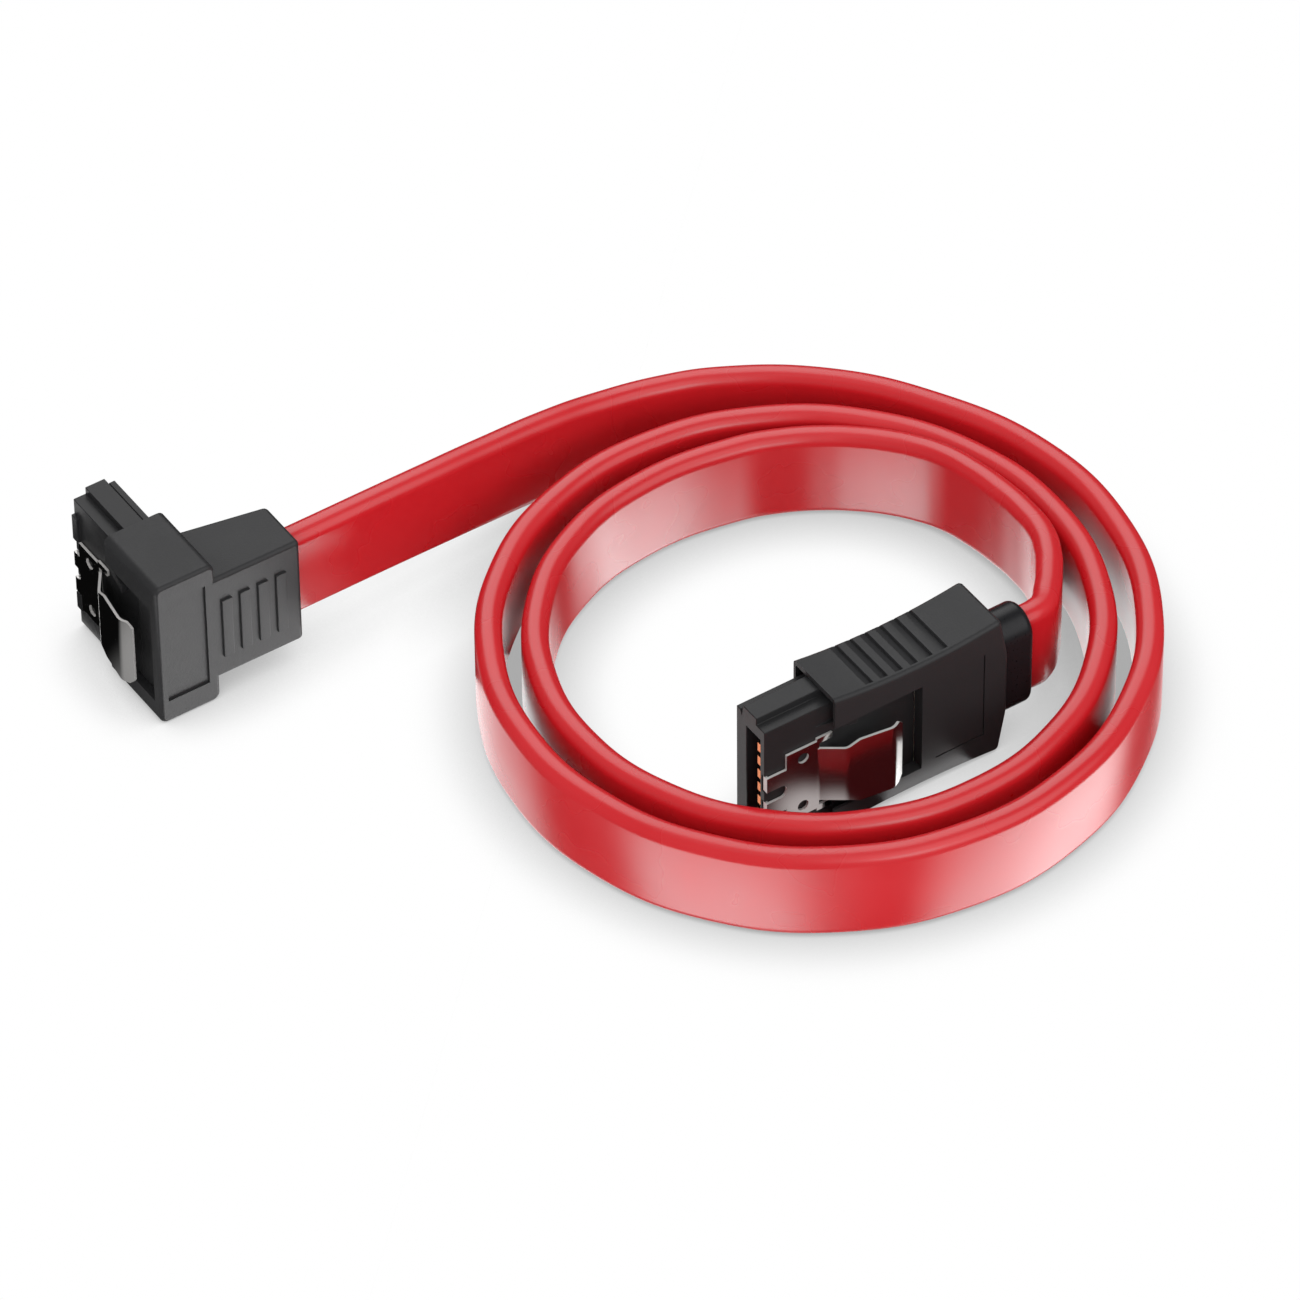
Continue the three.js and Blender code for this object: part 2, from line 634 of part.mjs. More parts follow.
function reliefOuter(grow) {
  const sleeveBody = prismX(stadium(RELIEF_HEIGHT + 2 * grow, RELIEF_THICKNESS + 2 * grow),
    reliefBack, reliefFront - RELIEF_COLLAR / 2, RELIEF_ROUND);
  const collar = prismX(stadium(RELIEF_HEIGHT + 2 * (RELIEF_COLLAR_STEP + grow),
    RELIEF_THICKNESS + 2 * (RELIEF_COLLAR_STEP + grow)),
  reliefFront - RELIEF_COLLAR - grow, reliefFront + grow);
  return sleeveBody.add(collar);
}

// Section of the hole that the end of the cable sits in
function cableSocket(across, z) {
  const half = CABLE_THICKNESS / 2 + SOCKET_CLEARANCE;
  const halfWidth = CABLE_WIDTH / 2 + SOCKET_CLEARANCE;
  return roundedRectangle(across - half, across + half, z - halfWidth, z + halfWidth,
    CABLE_CORNER, SOCKET_STEPS);
}

function strainRelief() {
  const socket = cableSocket(RELIEF_AXIS_Y, RELIEF_AXIS_Z);
  return cut(reliefOuter(0), [prismX(socket, reliefBack - CUT_OVERRUN, reliefFront + CUT_OVERRUN)]);
}

// Right-angled plug: the cable leaves towards -Y of the plug's frame

const flangeFarY = FLANGE_LATCH_WALL - FLANGE_WIDTH;
const exitY = flangeFarY - BLOCK_LENGTH;
const angledCoreFront = -ANGLED_BASE_LENGTH - FIT;
const angledCoreBack = -FLANGE_DEPTH + ANGLED_CORE_BACK_WALL;
const angledCoreEnd = -ANGLED_CORE_LENGTH - ANGLED_CORE_COVER;
const angledCableX = -FLANGE_DEPTH + BLOCK_DEPTH_EXIT / 2;

const angledNoseHeight = FLANGE_HEIGHT - 2 * ANGLED_NOSE_MARGIN;

const angled = {
  name: 'angled',
  noseBottom: ANGLED_NOSE_MARGIN,
  noseHeight: angledNoseHeight,
  noseSeat: -FIT,
  baseLength: ANGLED_BASE_LENGTH,
  tailEnd: angledCableX,
  baseInset: ANGLED_BASE_INSET,
  latchBack: ANGLED_LATCH_BACK,
  latchBottom: ANGLED_LATCH_BOTTOM,
  contactTopLand: (angledNoseHeight - contactSpan) / 2 + ANGLED_CONTACT_DROP,
  hasTipPads: true,
  cableZ: BLOCK_BOTTOM + BLOCK_HEIGHT / 2,
  coreBody(grow) {
    const z0 = this.noseBottom + this.baseInset - grow;
    const z1 = noseTop(this) - this.baseInset + grow;
    const front = block(angledCoreBack - grow, angledCoreFront + grow, -ANGLED_SHOULDER - grow,
      -ANGLED_CORE_COVER + grow, z0, z1);
    const back = block(angledCoreBack - grow, angledCoreFront + grow, angledCoreEnd - grow,
      -ANGLED_SHOULDER + FIT, BLOCK_BOTTOM + ANGLED_CORE_WALL - grow,
      BLOCK_BOTTOM + BLOCK_HEIGHT - ANGLED_CORE_WALL + grow);
    return front.add(back);
  },
  wireCorners(contactZ, wireZ) {
    const x = angledCableX;
    const start = contactY - CONTACT_THICKNESS / 2 - 2 * FIT;
    const end = angledCoreEnd + FIT;
    return [new THREE.Vector3(x, start, contactZ), new THREE.Vector3(x, start - WIRE_STRAIGHT, contactZ),
      new THREE.Vector3(x, -ANGLED_SHOULDER, wireZ), new THREE.Vector3(x, end, wireZ)];
  },
};

function angledHoodBody() {
  const flangeShape = roundedRectangle(flangeFarY, FLANGE_LATCH_WALL, 0, FLANGE_HEIGHT, FLANGE_CORNER);
  const flange = prismX(flangeShape, -FLANGE_DEPTH, CUT_OVERRUN, FACE_ROUND);
  const blockShape = roundedRectangle(exitY, flangeFarY + FLANGE_WIDTH / 2, BLOCK_BOTTOM,
    BLOCK_BOTTOM + BLOCK_HEIGHT, BLOCK_CORNER);
  const rear = prismX(blockShape, -FLANGE_DEPTH, 0, FACE_ROUND);
  const slant = outline([[-FLANGE_DEPTH + BLOCK_DEPTH_FRONT, flangeFarY],
    [-FLANGE_DEPTH + BLOCK_DEPTH_EXIT, exitY - FIT], [-FLANGE_DEPTH + BLOCK_DEPTH_EXIT, exitY - CUT_OVERRUN],
    [CUT_OVERRUN, exitY - CUT_OVERRUN], [CUT_OVERRUN, flangeFarY]]);
  const trimmed = rear.subtract(prismZ(slant, -CUT_OVERRUN, FLANGE_HEIGHT + CUT_OVERRUN));
  const mouthSide = block(0, 2 * CUT_OVERRUN, exitY - CUT_OVERRUN, FLANGE_LATCH_WALL + CUT_OVERRUN,
    -CUT_OVERRUN, FLANGE_HEIGHT + CUT_OVERRUN);
  return flange.add(trimmed).subtract(mouthSide);
}

function angledHood() {
  const plug = angled;
  const face = -FLANGE_DEPTH;
  const window = block(face + WINDOW_WALL, CUT_OVERRUN, 0, FLANGE_LATCH_WALL + CUT_OVERRUN,
    WINDOW_BOTTOM, WINDOW_TOP);
  const panelY1 = FLANGE_LATCH_WALL - PANEL_INSET;
  const panel = block(face - CUT_OVERRUN, face + PANEL_DEPTH, panelY1 - PANEL_WIDTH, panelY1,
    PANEL_BOTTOM, PANEL_TOP);
  const body = Array.from({ length: RIB_COUNT }, (_, i) => {
    const y1 = FLANGE_LATCH_WALL - RIB_START - i * RIB_PITCH;
    return block(face - RIB_RISE, face + FIT, y1 - RIB_WIDTH, y1, RIB_BOTTOM, RIB_TOP);
  }).reduce((sum, rib) => sum.add(rib), angledHoodBody());
  const socket = prismY(cableSocket(angledCableX, plug.cableZ), exitY - CUT_OVERRUN, angledCoreEnd);
  return cut(body, [baseBody(plug, FIT), plug.coreBody(FIT), window, panel, socket]);
}

// Flat cable: its section stays upright along the whole route, and its steps
// are closer together at the two ends, where it bends out of the plugs

class UprightRoute extends THREE.CatmullRomCurve3 {
  getUtoTmapping(share, distance) {
    const endShare = END_STEPS / CABLE_STEPS;
    const endLength = END_LENGTH / this.getLength();
    const middle = (1 - 2 * endLength) / (1 - 2 * endShare);
    let along = endLength + (share - endShare) * middle;
    if (share < endShare) along = (share / endShare) * endLength;
    if (share > 1 - endShare) along = 1 - ((1 - share) / endShare) * endLength;
    return super.getUtoTmapping(along, distance);
  }

  computeFrenetFrames(segments) {
    const up = new THREE.Vector3(0, 0, 1);
    const frames = { tangents: [], normals: [], binormals: [] };
    for (let i = 0; i <= segments; i += 1) {
      const tangent = this.getTangentAt(i / segments).normalize();
      const normal = new THREE.Vector3().crossVectors(up, tangent).normalize();
      frames.tangents.push(tangent);
      frames.normals.push(normal);
      frames.binormals.push(new THREE.Vector3().crossVectors(tangent, normal).normalize());
    }
    return frames;
  }
}

// From the right-angled plug down to the floor and into the outer turn
const LEAD_IN = [
  [-10.13, 14.27, 6.8], [-5.66, 14.39, 6.7], [-0.53, 14.75, 6.3], [4.77, 15.36, 5.6],
  [10.03, 15.86, 4.9], [15.06, 16.05, 4.1], [19.63, 15.35, 3.8], [23.94, 13.73, 3.75],
  [30.4, 9.15, 3.75],
];

// From the inner turn round to the straight plug, rising off the floor
const LEAD_OUT = [
  [20.6, 6.95, 3.75], [24.1, 5.75, 3.75], [26.95, 4.15, 3.75], [28.7, 2.8, 3.75],
  [30.2, 1.3, 3.8], [31.6, -0.55, 3.85], [32.6, -2.65, 4.0], [33.2, -5.15, 4.15],
  [33.55, -7.95, 4.3], [33.55, -10.75, 4.55], [33.1, -13.55, 4.85], [32.1, -15.75, 5.15],
  [30.8, -17.65, 5.45], [29.4, -19.35, 5.75], [28.1, -20.55, 6.0], [27.0, -20.97, 6.2],
];

function coilPoint(turn) {
  const radius = COIL_RADIUS - COIL_PITCH * turn / (2 * Math.PI);
  return new THREE.Vector3(COIL_CENTRE.x + radius * Math.sin(turn),
    COIL_CENTRE.y + radius * Math.cos(turn), FLOOR_AXIS);
}

function cableRoute() {
  const points = [];
  const intoAngled = exitY - angledCoreEnd + CABLE_END_GAP;
  [intoAngled, intoAngled / 2, 0].forEach((depth) => {
    points.push(ANGLED_EXIT.clone().add(new THREE.Vector3(depth, 0, 0)));
  });
  LEAD_IN.forEach((point) => points.push(new THREE.Vector3(...point)));
  for (let i = 0; i <= COIL_POINTS; i += 1) {
    points.push(coilPoint(COIL_START + (COIL_END - COIL_START) * i / COIL_POINTS));
  }
  LEAD_OUT.forEach((point) => points.push(new THREE.Vector3(...point)));
  const intoStraight = straightCoreBack - reliefBack - CABLE_END_GAP;
  [0, intoStraight / 2, intoStraight].forEach((depth) => {
    points.push(STRAIGHT_EXIT.clone().add(new THREE.Vector3(-depth, 0, 0)));
  });
  return new UprightRoute(points, false, 'centripetal');
}

function flatCable() {
  const section = roundedRectangle(-CABLE_THICKNESS / 2, CABLE_THICKNESS / 2, -CABLE_WIDTH / 2,
    CABLE_WIDTH / 2, CABLE_CORNER, CORNER_STEPS);
  return solid(new THREE.ExtrudeGeometry(section, {
    steps: CABLE_STEPS, extrudePath: cableRoute(), bevelEnabled: false,
  }));
}

// Assembly

function plugGroup(plug, hood) {
  const group = new THREE.Group();
  group.add(mesh(`${plug.name}_hood`, hood, black));
  group.add(mesh(`${plug.name}_insulator`, insulator(plug), black));
  group.add(mesh(`${plug.name}_latch`, latch(plug), steel));
  group.add(mesh(`${plug.name}_core`, core(plug), natural));
  contactLevels(plug).forEach((level, i) => {
    group.add(mesh(`${plug.name}_contact_${i + 1}`, contact(plug, level), copper));
    const finish = WIRE_KINDS[i % WIRE_KINDS.length] === 'signal' ? sleeve : tinned;
    group.add(mesh(`${plug.name}_wire_${i + 1}`, wireBody(plug, i), finish));
  });
  return group;
}

const straightPlug = plugGroup(straight, straightHood());
straightPlug.add(mesh('straight_strain_relief', strainRelief(), glossBlack));
straightPlug.rotation.z = Math.PI;
straightPlug.position.set(STRAIGHT_EXIT.x + reliefBack, STRAIGHT_EXIT.y + RELIEF_AXIS_Y, 0);

const angledPlug = plugGroup(angled, angledHood());
angledPlug.rotation.z = Math.PI / 2;
angledPlug.position.set(ANGLED_EXIT.x + exitY, ANGLED_EXIT.y - angledCableX, 0);

const part = new THREE.Group();
part.add(straightPlug, angledPlug, mesh('flat_cable', flatCable(), red));

export default part;
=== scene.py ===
"""A flat serial data cable: a red jacket on edge in a loose coil, and two black plugs."""

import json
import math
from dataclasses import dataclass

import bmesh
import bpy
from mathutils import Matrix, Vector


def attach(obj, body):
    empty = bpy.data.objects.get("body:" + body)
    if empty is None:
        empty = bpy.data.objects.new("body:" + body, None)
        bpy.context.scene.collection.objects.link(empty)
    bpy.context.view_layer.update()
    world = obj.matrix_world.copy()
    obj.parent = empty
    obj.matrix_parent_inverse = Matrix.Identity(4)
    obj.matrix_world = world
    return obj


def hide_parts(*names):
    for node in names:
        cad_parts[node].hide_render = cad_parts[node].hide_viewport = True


bl_info = {
    "name": "Flat Serial Data Cable",
    "version": (1, 0, 0),
    "blender": (4, 5, 0),
    "location": "View3D > Sidebar > Cable",
    "description": "Models a coiled flat data cable with a straight and a right-angled plug",
    "category": "Object",
}

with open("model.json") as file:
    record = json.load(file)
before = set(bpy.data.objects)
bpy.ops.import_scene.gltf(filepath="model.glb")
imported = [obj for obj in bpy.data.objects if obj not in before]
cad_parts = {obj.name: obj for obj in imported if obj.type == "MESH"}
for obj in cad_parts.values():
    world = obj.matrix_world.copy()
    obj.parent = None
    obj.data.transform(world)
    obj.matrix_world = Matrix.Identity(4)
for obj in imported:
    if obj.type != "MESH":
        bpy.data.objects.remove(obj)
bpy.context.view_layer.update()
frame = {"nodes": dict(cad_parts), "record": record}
MM = 0.001


@dataclass(frozen=True)
class Plug:
    """A plug's own sizes in millimetres. Its frame has +X the way that it mates and +Y out of the latch."""

    name: str
    nose_bottom: float
    nose_height: float
    base_front: float
    base_length: float
    latch_bottom: float
    latch_back: float
    has_tip_pads: bool
    turn: float
    origin: tuple

    @property
    def nose_top(self):
        return self.nose_bottom + self.nose_height

    @property
    def place(self):
        """From the plug's frame, in millimetres, to the model's, in metres."""
        moved = Matrix.Translation(Vector(self.origin) * MM)
        return moved @ Matrix.Rotation(math.radians(self.turn), 4, "Z") @ Matrix.Scale(MM, 4)


STRAIGHT = Plug(
    name="straight", nose_bottom=0.25, nose_height=11.9, base_front=-1.95, base_length=7.4,
    latch_bottom=2.1, latch_back=0.8, has_tip_pads=False, turn=180, origin=(8.55, -22.35, 0))
ANGLED = Plug(
    name="angled", nose_bottom=0.1, nose_height=12.85, base_front=0.05, base_length=3.2,
    latch_bottom=2.33, latch_back=1.7, has_tip_pads=True, turn=90, origin=(-24.075, 18.755, 0))

# Sizes that the two plugs share, in millimetres
NOSE_REACH = 5.25
NOSE_THICKNESS = 3.42
SLOT_WALL = 0.5
SLOT_WIDTH = 1.7
SLOT_FLOOR = -0.65
BASE_INSET = 0.95
CONTACT_COUNT = 7
CONTACT_PITCH = 1.27
CONTACT_HEIGHT = 0.78
CONTACT_THICKNESS = 0.35
CONTACT_TOP_LAND = 2.34
SHEET = 0.2
FIT = 0.05
BEYOND = 1.0
PLATE_HEIGHT = 6.5
PLATE_LENGTH = 2.75
CLAW_HEIGHT = 1.35
CLAW_TOP_DROP = 1.35
CLAW_GAP = 1.1
CLAW_WRAP = 0.25

# The route of the cable's middle line, in millimetres: out of the right-angled plug, nearly two
# turns on the floor, and up into the straight plug
ANGLED_EXIT = (-12.76, 14.27, 6.795)
ANGLED_TAIL = 2.4
STRAIGHT_EXIT = (26.0, -21.0, 6.25)
STRAIGHT_TAIL = 5.2
LEAD_IN = [
    (-10.13, 14.27, 6.8), (-5.66, 14.39, 6.7), (-0.53, 14.75, 6.3), (4.77, 15.36, 5.6),
    (10.03, 15.86, 4.9), (15.06, 16.05, 4.1), (19.63, 15.35, 3.8), (23.94, 13.73, 3.75),
    (30.4, 9.15, 3.75),
]
LEAD_OUT = [
    (20.6, 6.95, 3.75), (24.1, 5.75, 3.75), (26.95, 4.15, 3.75), (28.7, 2.8, 3.75),
    (30.2, 1.3, 3.8), (31.6, -0.55, 3.85), (32.6, -2.65, 4.0), (33.2, -5.15, 4.15),
    (33.55, -7.95, 4.3), (33.55, -10.75, 4.55), (33.1, -13.55, 4.85), (32.1, -15.75, 5.15),
    (30.8, -17.65, 5.45), (29.4, -19.35, 5.75), (28.1, -20.55, 6.0), (27.0, -20.97, 6.2),
]
COIL_CENTRE = (14.76, -10.97)
COIL_POINTS = 30
JACKET_STEPS = 14

# How near counts as one point and as one place, in millimetres, and the angles up to which an
# edge is dissolved, and over which it is shaded sharp or bevelled
WELD = 1e-3
SAME = 1e-4
SHALLOW = math.radians(0.5)
SHARP = math.radians(35)
BEVELLED = math.radians(40)

# A Mix node has several sockets of one name, so those of its colours go by number
COLOUR_A = 6
COLOUR_B = 7
COLOUR_RESULT = 2
SMOOTH = {"interpolation_type": "SMOOTHSTEP"}


def linear(hex_text, alpha=1.0):
    """A colour written as sRGB hex, as the linear values that the shaders take."""
    parts = [int(hex_text[i:i + 2], 16) / 255 for i in (1, 3, 5)]
    return (*[c / 12.92 if c <= 0.04045 else ((c + 0.055) / 1.055) ** 2.4 for c in parts], alpha)


def length_property(name, description, size):
    """A property that holds a length, with its default written in millimetres."""
    return bpy.props.FloatProperty(
        name=name, description=description, default=size * MM, unit="LENGTH")


def strength_property(name, description, strength):
    """A property that holds the strength of a light."""
    return bpy.props.FloatProperty(name=name, description=description, default=strength, min=0)


def colour_property(name, description, hex_text):
    """A property that holds a colour, with its default written as sRGB hex."""
    return bpy.props.FloatVectorProperty(
        name=name, description=description, subtype="COLOR", size=4, min=0, max=1,
        default=linear(hex_text))


class CableSettings(bpy.types.PropertyGroup):
    """Sizes and colour of the flat cable."""

    width: length_property("Width", "Height of the cable as it stands on edge", 7.5)
    thickness: length_property("Thickness", "Thickness of the flat jacket", 2.0)
    corner: length_property("Edge radius", "Radius of the jacket's four rounded corners", 0.85)
    coil_radius: length_property(
        "Coil radius", "Radius of the first turn before the spiral closes in", 25.22)
    coil_pitch: length_property(
        "Turn spacing", "How far one turn lies inside the turn before", 3.31)
    coil_start: bpy.props.FloatProperty(
        name="Coil start", description="Where the lead-in joins the coil, clockwise from +Y",
        default=math.radians(55), subtype="ANGLE")
    coil_end: bpy.props.FloatProperty(
        name="Coil end", description="Where the cable leaves the coil, clockwise from +Y",
        default=math.radians(715), subtype="ANGLE")
    colour: colour_property("Jacket colour", "Colour of the PVC jacket", "#D01F27")


class HoodSettings(bpy.types.PropertyGroup):
    """Sizes of the two hoods that the hand holds."""

    straight_length: length_property(
        "Straight hood length", "From the mouth to the rear corners", 14.1)
    straight_height: length_property("Straight hood height", "Height at the mouth", 12.6)
    straight_thickness: length_property(
        "Straight hood thickness", "From the latch side to the far side", 5.1)
    edge_round: length_property(
        "Straight hood edge radius", "Radius of the long moulded edges", 0.5)
    grip_count: bpy.props.IntProperty(
        name="Grip grooves", description="Saw-tooth grooves across the top", default=6, min=0)
    grip_pitch: length_property("Grip spacing", "From one groove to the next", 1.26)
    flange_height: length_property(
        "Flange height", "Height of the right-angled hood's flange", 13.05)
    flange_depth: length_property("Flange depth", "From the broad face to the mouth", 6.71)
    block_length: length_property(
        "Cable block length", "From the flange to the cable's exit", 7.04)
    rib_count: bpy.props.IntProperty(
        name="Ribs", description="Low upright ribs on the cable block", default=4, min=0)
    rib_pitch: length_property("Rib spacing", "From one rib to the next", 1.5)


class FinishSettings(bpy.types.PropertyGroup):
    """Colours of the plugs."""

    hood: colour_property("Hood", "Colour of the black overmoulding", "#313132")
    nose: colour_property("Nose", "Colour of the insulator that holds the contacts", "#2A2A2B")
    relief: colour_property(
        "Strain relief", "Colour of the smooth collar round the cable", "#202022")
    steel: colour_property("Latch", "Colour of the stainless spring sheet", "#D6D4D2")
    copper: colour_property("Contacts", "Colour of the copper alloy contacts", "#F28A4C")


class StudioSettings(bpy.types.PropertyGroup):
    """Levels of the soft studio light."""

    dome: strength_property("Dome", "Strength of the even light from all round", 0.98)
    key: strength_property("Top light", "Power of the large lamp overhead, in watts", 0.25)
    fill: strength_property("Front fill", "Strength of the low light from the front", 0.4)
    panel: strength_property("Side panels", "Brightness of the side panels that gloss shows", 6.6)


def add_node(tree, kind, settings=None, inputs=None):
    """Adds one node with its settings, input values and links."""
    made = tree.nodes.new(kind)
    for name, value in (settings or {}).items():
        setattr(made, name, value)
    for name, value in (inputs or {}).items():
        if isinstance(value, bpy.types.NodeSocket):
            tree.links.new(value, made.inputs[name])
        else:
            made.inputs[name].default_value = value
    return made


def new_material(name):
    """An empty node material, with its tree and its output."""
    made = bpy.data.materials.new(name)
    made.use_nodes = True
    made.node_tree.nodes.clear()
    return made, made.node_tree, add_node(made.node_tree, "ShaderNodeOutputMaterial")


def moulded_pvc(name, colour, roughness, grain, depth):
    """PVC or PBT from a spark-eroded mould.

    The eye sees a low sheen that is broken up by a fine grain, and faint cloudy patches
    where the melt cooled at different speeds.
    """
    made, tree, output = new_material(name)
    place = add_node(tree, "ShaderNodeTexCoord")
    # The mould's grit, drawn a little coarser than the real 0.05 mm so that it shows
    grit = add_node(tree, "ShaderNodeTexNoise", inputs={
        "Vector": place.outputs["Object"], "Scale": 1 / (grain * MM), "Detail": 3.0,
        "Roughness": 0.6})
    patch = 4.0
    cloud = add_node(tree, "ShaderNodeTexNoise", inputs={
        "Vector": place.outputs["Object"], "Scale": 1 / (patch * MM), "Detail": 2.0})
    shade = add_node(tree, "ShaderNodeMapRange", inputs={
        "Value": cloud.outputs["Fac"], "To Min": 0.82, "To Max": 1.12})
    tone = add_node(tree, "ShaderNodeMix", {"data_type": "RGBA", "blend_type": "MULTIPLY"}, {
        "Factor": 1.0, COLOUR_A: colour, COLOUR_B: shade.outputs["Result"]})
    spread = 0.1
    sheen = add_node(tree, "ShaderNodeMapRange", inputs={
        "Value": grit.outputs["Fac"], "To Min": roughness - spread, "To Max": roughness + spread})
    bump = add_node(tree, "ShaderNodeBump", inputs={
        "Height": grit.outputs["Fac"], "Strength": 0.35, "Distance": depth * MM})
    skin = add_node(tree, "ShaderNodeBsdfPrincipled", inputs={
        "Base Color": tone.outputs[COLOUR_RESULT], "Roughness": sheen.outputs["Result"],
        "IOR": 1.52, "Specular IOR Level": 0.17, "Normal": bump.outputs["Normal"]})
    tree.links.new(skin.outputs["BSDF"], output.inputs["Surface"])
    return made


def extruded_pvc(name, colour):
    """Soft PVC drawn through a die as a jacket.

    The eye sees a deep, wet-looking colour with long smooth highlights, and very faint lines
    along the length where the die has scored the skin.
    """
    made, tree, output = new_material(name)
    along = add_node(tree, "ShaderNodeUVMap", {"uv_map": "Jacket"})
    # Die lines about 0.25 mm apart round the jacket's 18 mm and a few centimetres long
    stretch = add_node(tree, "ShaderNodeMapping", inputs={
        "Vector": along.outputs["UV"], "Scale": (8.0, 72.0, 1.0)})
    lines = add_node(tree, "ShaderNodeTexNoise", inputs={
        "Vector": stretch.outputs["Vector"], "Scale": 1.0, "Detail": 1.0})
    place = add_node(tree, "ShaderNodeTexCoord")
    patch = 6.0
    cloud = add_node(tree, "ShaderNodeTexNoise", inputs={
        "Vector": place.outputs["Object"], "Scale": 1 / (patch * MM), "Detail": 2.0})
    shade = add_node(tree, "ShaderNodeMapRange", inputs={
        "Value": cloud.outputs["Fac"], "To Min": 0.93, "To Max": 1.05})
    tone = add_node(tree, "ShaderNodeMix", {"data_type": "RGBA", "blend_type": "MULTIPLY"}, {
        "Factor": 1.0, COLOUR_A: colour, COLOUR_B: shade.outputs["Result"]})
    sheen = add_node(tree, "ShaderNodeMapRange", inputs={
        "Value": cloud.outputs["Fac"], "To Min": 0.22, "To Max": 0.34})
    bump = add_node(tree, "ShaderNodeBump", inputs={
        "Height": lines.outputs["Fac"], "Strength": 0.04, "Distance": 0.01 * MM})
    skin = add_node(tree, "ShaderNodeBsdfPrincipled", inputs={
        "Base Color": tone.outputs[COLOUR_RESULT], "Roughness": sheen.outputs["Result"],
        "IOR": 1.53, "Specular Tint": linear("#60FFFF"), "Normal": bump.outputs["Normal"]})
    tree.links.new(skin.outputs["BSDF"], output.inputs["Surface"])
    return made


def rolled_metal(name, colour, roughness, line):
    """Spring sheet, rolled bright and stamped.

    The eye sees a clear mirror with slight streaks along the direction of rolling.
    """
    made, tree, output = new_material(name)
    place = add_node(tree, "ShaderNodeTexCoord")
    # Rolling streaks: narrow across the sheet and twenty times as long
    across = 1 / (line * MM)
    stretch = add_node(tree, "ShaderNodeMapping", inputs={
        "Vector": place.outputs["Object"], "Scale": (across / 20, across / 20, across)})
    streaks = add_node(tree, "ShaderNodeTexNoise", inputs={
        "Vector": stretch.outputs["Vector"], "Scale": 1.0, "Detail": 2.0})
    sheen = add_node(tree, "ShaderNodeMapRange", inputs={
        "Value": streaks.outputs["Fac"], "To Min": roughness - 0.03, "To Max": roughness + 0.05})
    bump = add_node(tree, "ShaderNodeBump", inputs={
        "Height": streaks.outputs["Fac"], "Strength": 0.05, "Distance": 0.002 * MM})
    # A sheared rim is torn fine and scatters light, so it stays bright from every side
    rim = add_node(tree, "ShaderNodeAttribute", {"attribute_name": "sheared"})
    solid = add_node(tree, "ShaderNodeMapRange", inputs={
        "Value": rim.outputs["Fac"], "To Min": 1.0, "To Max": 0.15})
    skin = add_node(tree, "ShaderNodeBsdfPrincipled", inputs={
        "Base Color": colour, "Metallic": solid.outputs["Result"],
        "Roughness": sheen.outputs["Result"], "Normal": bump.outputs["Normal"]})
    tree.links.new(skin.outputs["BSDF"], output.inputs["Surface"])
    return made


def extruded(corners, reach):
    """A closed solid from one face and the vector that it is extruded by."""
    made = bmesh.new()
    face = made.faces.new([made.verts.new(corner) for corner in corners])
    grown = bmesh.ops.extrude_face_region(made, geom=[face])
    moved = [item for item in grown["geom"] if isinstance(item, bmesh.types.BMVert)]
    bmesh.ops.translate(made, verts=moved, vec=reach)
    bmesh.ops.recalc_face_normals(made, faces=made.faces)
    return made


def flat_face(corners):
    """One flat face on the floor, from its corners."""
    made = bmesh.new()
    made.faces.new([made.verts.new((x, y, 0)) for x, y in corners])
    return made


def block(x0, x1, y0, y1, z0, z1):
    """A box between two corners."""
    made = bmesh.new()
    bmesh.ops.create_cube(made, size=1.0)
    bmesh.ops.scale(made, vec=(x1 - x0, y1 - y0, z1 - z0), verts=made.verts)
    bmesh.ops.translate(made, vec=((x0 + x1) / 2, (y0 + y1) / 2, (z0 + z1) / 2), verts=made.verts)
    return made


def round_edges(body, offset, segments, wanted):
    """Bevels the edges that a test picks."""
    edges = [edge for edge in body.edges if wanted(edge)]
    bmesh.ops.bevel(
        body, geom=edges, offset=offset, offset_type="OFFSET", segments=segments, profile=0.5,
        affect="EDGES", clamp_overlap=True, material=-1)
    return body


def runs_along(edge, axis):
    """Whether an edge runs along one axis."""
    line = (edge.verts[1].co - edge.verts[0].co).normalized()
    parallel = 0.999
    return abs(line[axis]) > parallel


def lies_at(edge, axis, value):
    """Whether both ends of an edge lie at one value on an axis."""
    return all(abs(vert.co[axis] - value) < SAME for vert in edge.verts)


def working_object(name, body):
    """Puts a bmesh into an object for a modifier to use, and frees it."""
    mesh = bpy.data.meshes.new(name)
    body.to_mesh(mesh)
    body.free()
    made = bpy.data.objects.new(name, mesh)
    bpy.context.collection.objects.link(made)
    return made


def evaluated_mesh(subject):
    """The subject's mesh after its modifiers."""
    graph = bpy.context.evaluated_depsgraph_get()
    return bpy.data.meshes.new_from_object(
        subject.evaluated_get(graph), preserve_all_data_layers=True, depsgraph=graph)


def carve(body, tools, operation="DIFFERENCE"):
    """Cuts each tool out of a body, joins it on or keeps what they share."""
    for tool in tools:
        subject = working_object("subject", body)
        shaper = working_object("shaper", tool)
        step = subject.modifiers.new("Carve", "BOOLEAN")
        step.object = shaper
        step.operation = operation
        step.solver = "EXACT"
        result = evaluated_mesh(subject)
        body = bmesh.new()
        body.from_mesh(result)
        for spent in (subject, shaper):
            mesh = spent.data
            bpy.data.objects.remove(spent)
            bpy.data.meshes.remove(mesh)
        bpy.data.meshes.remove(result)
    return body


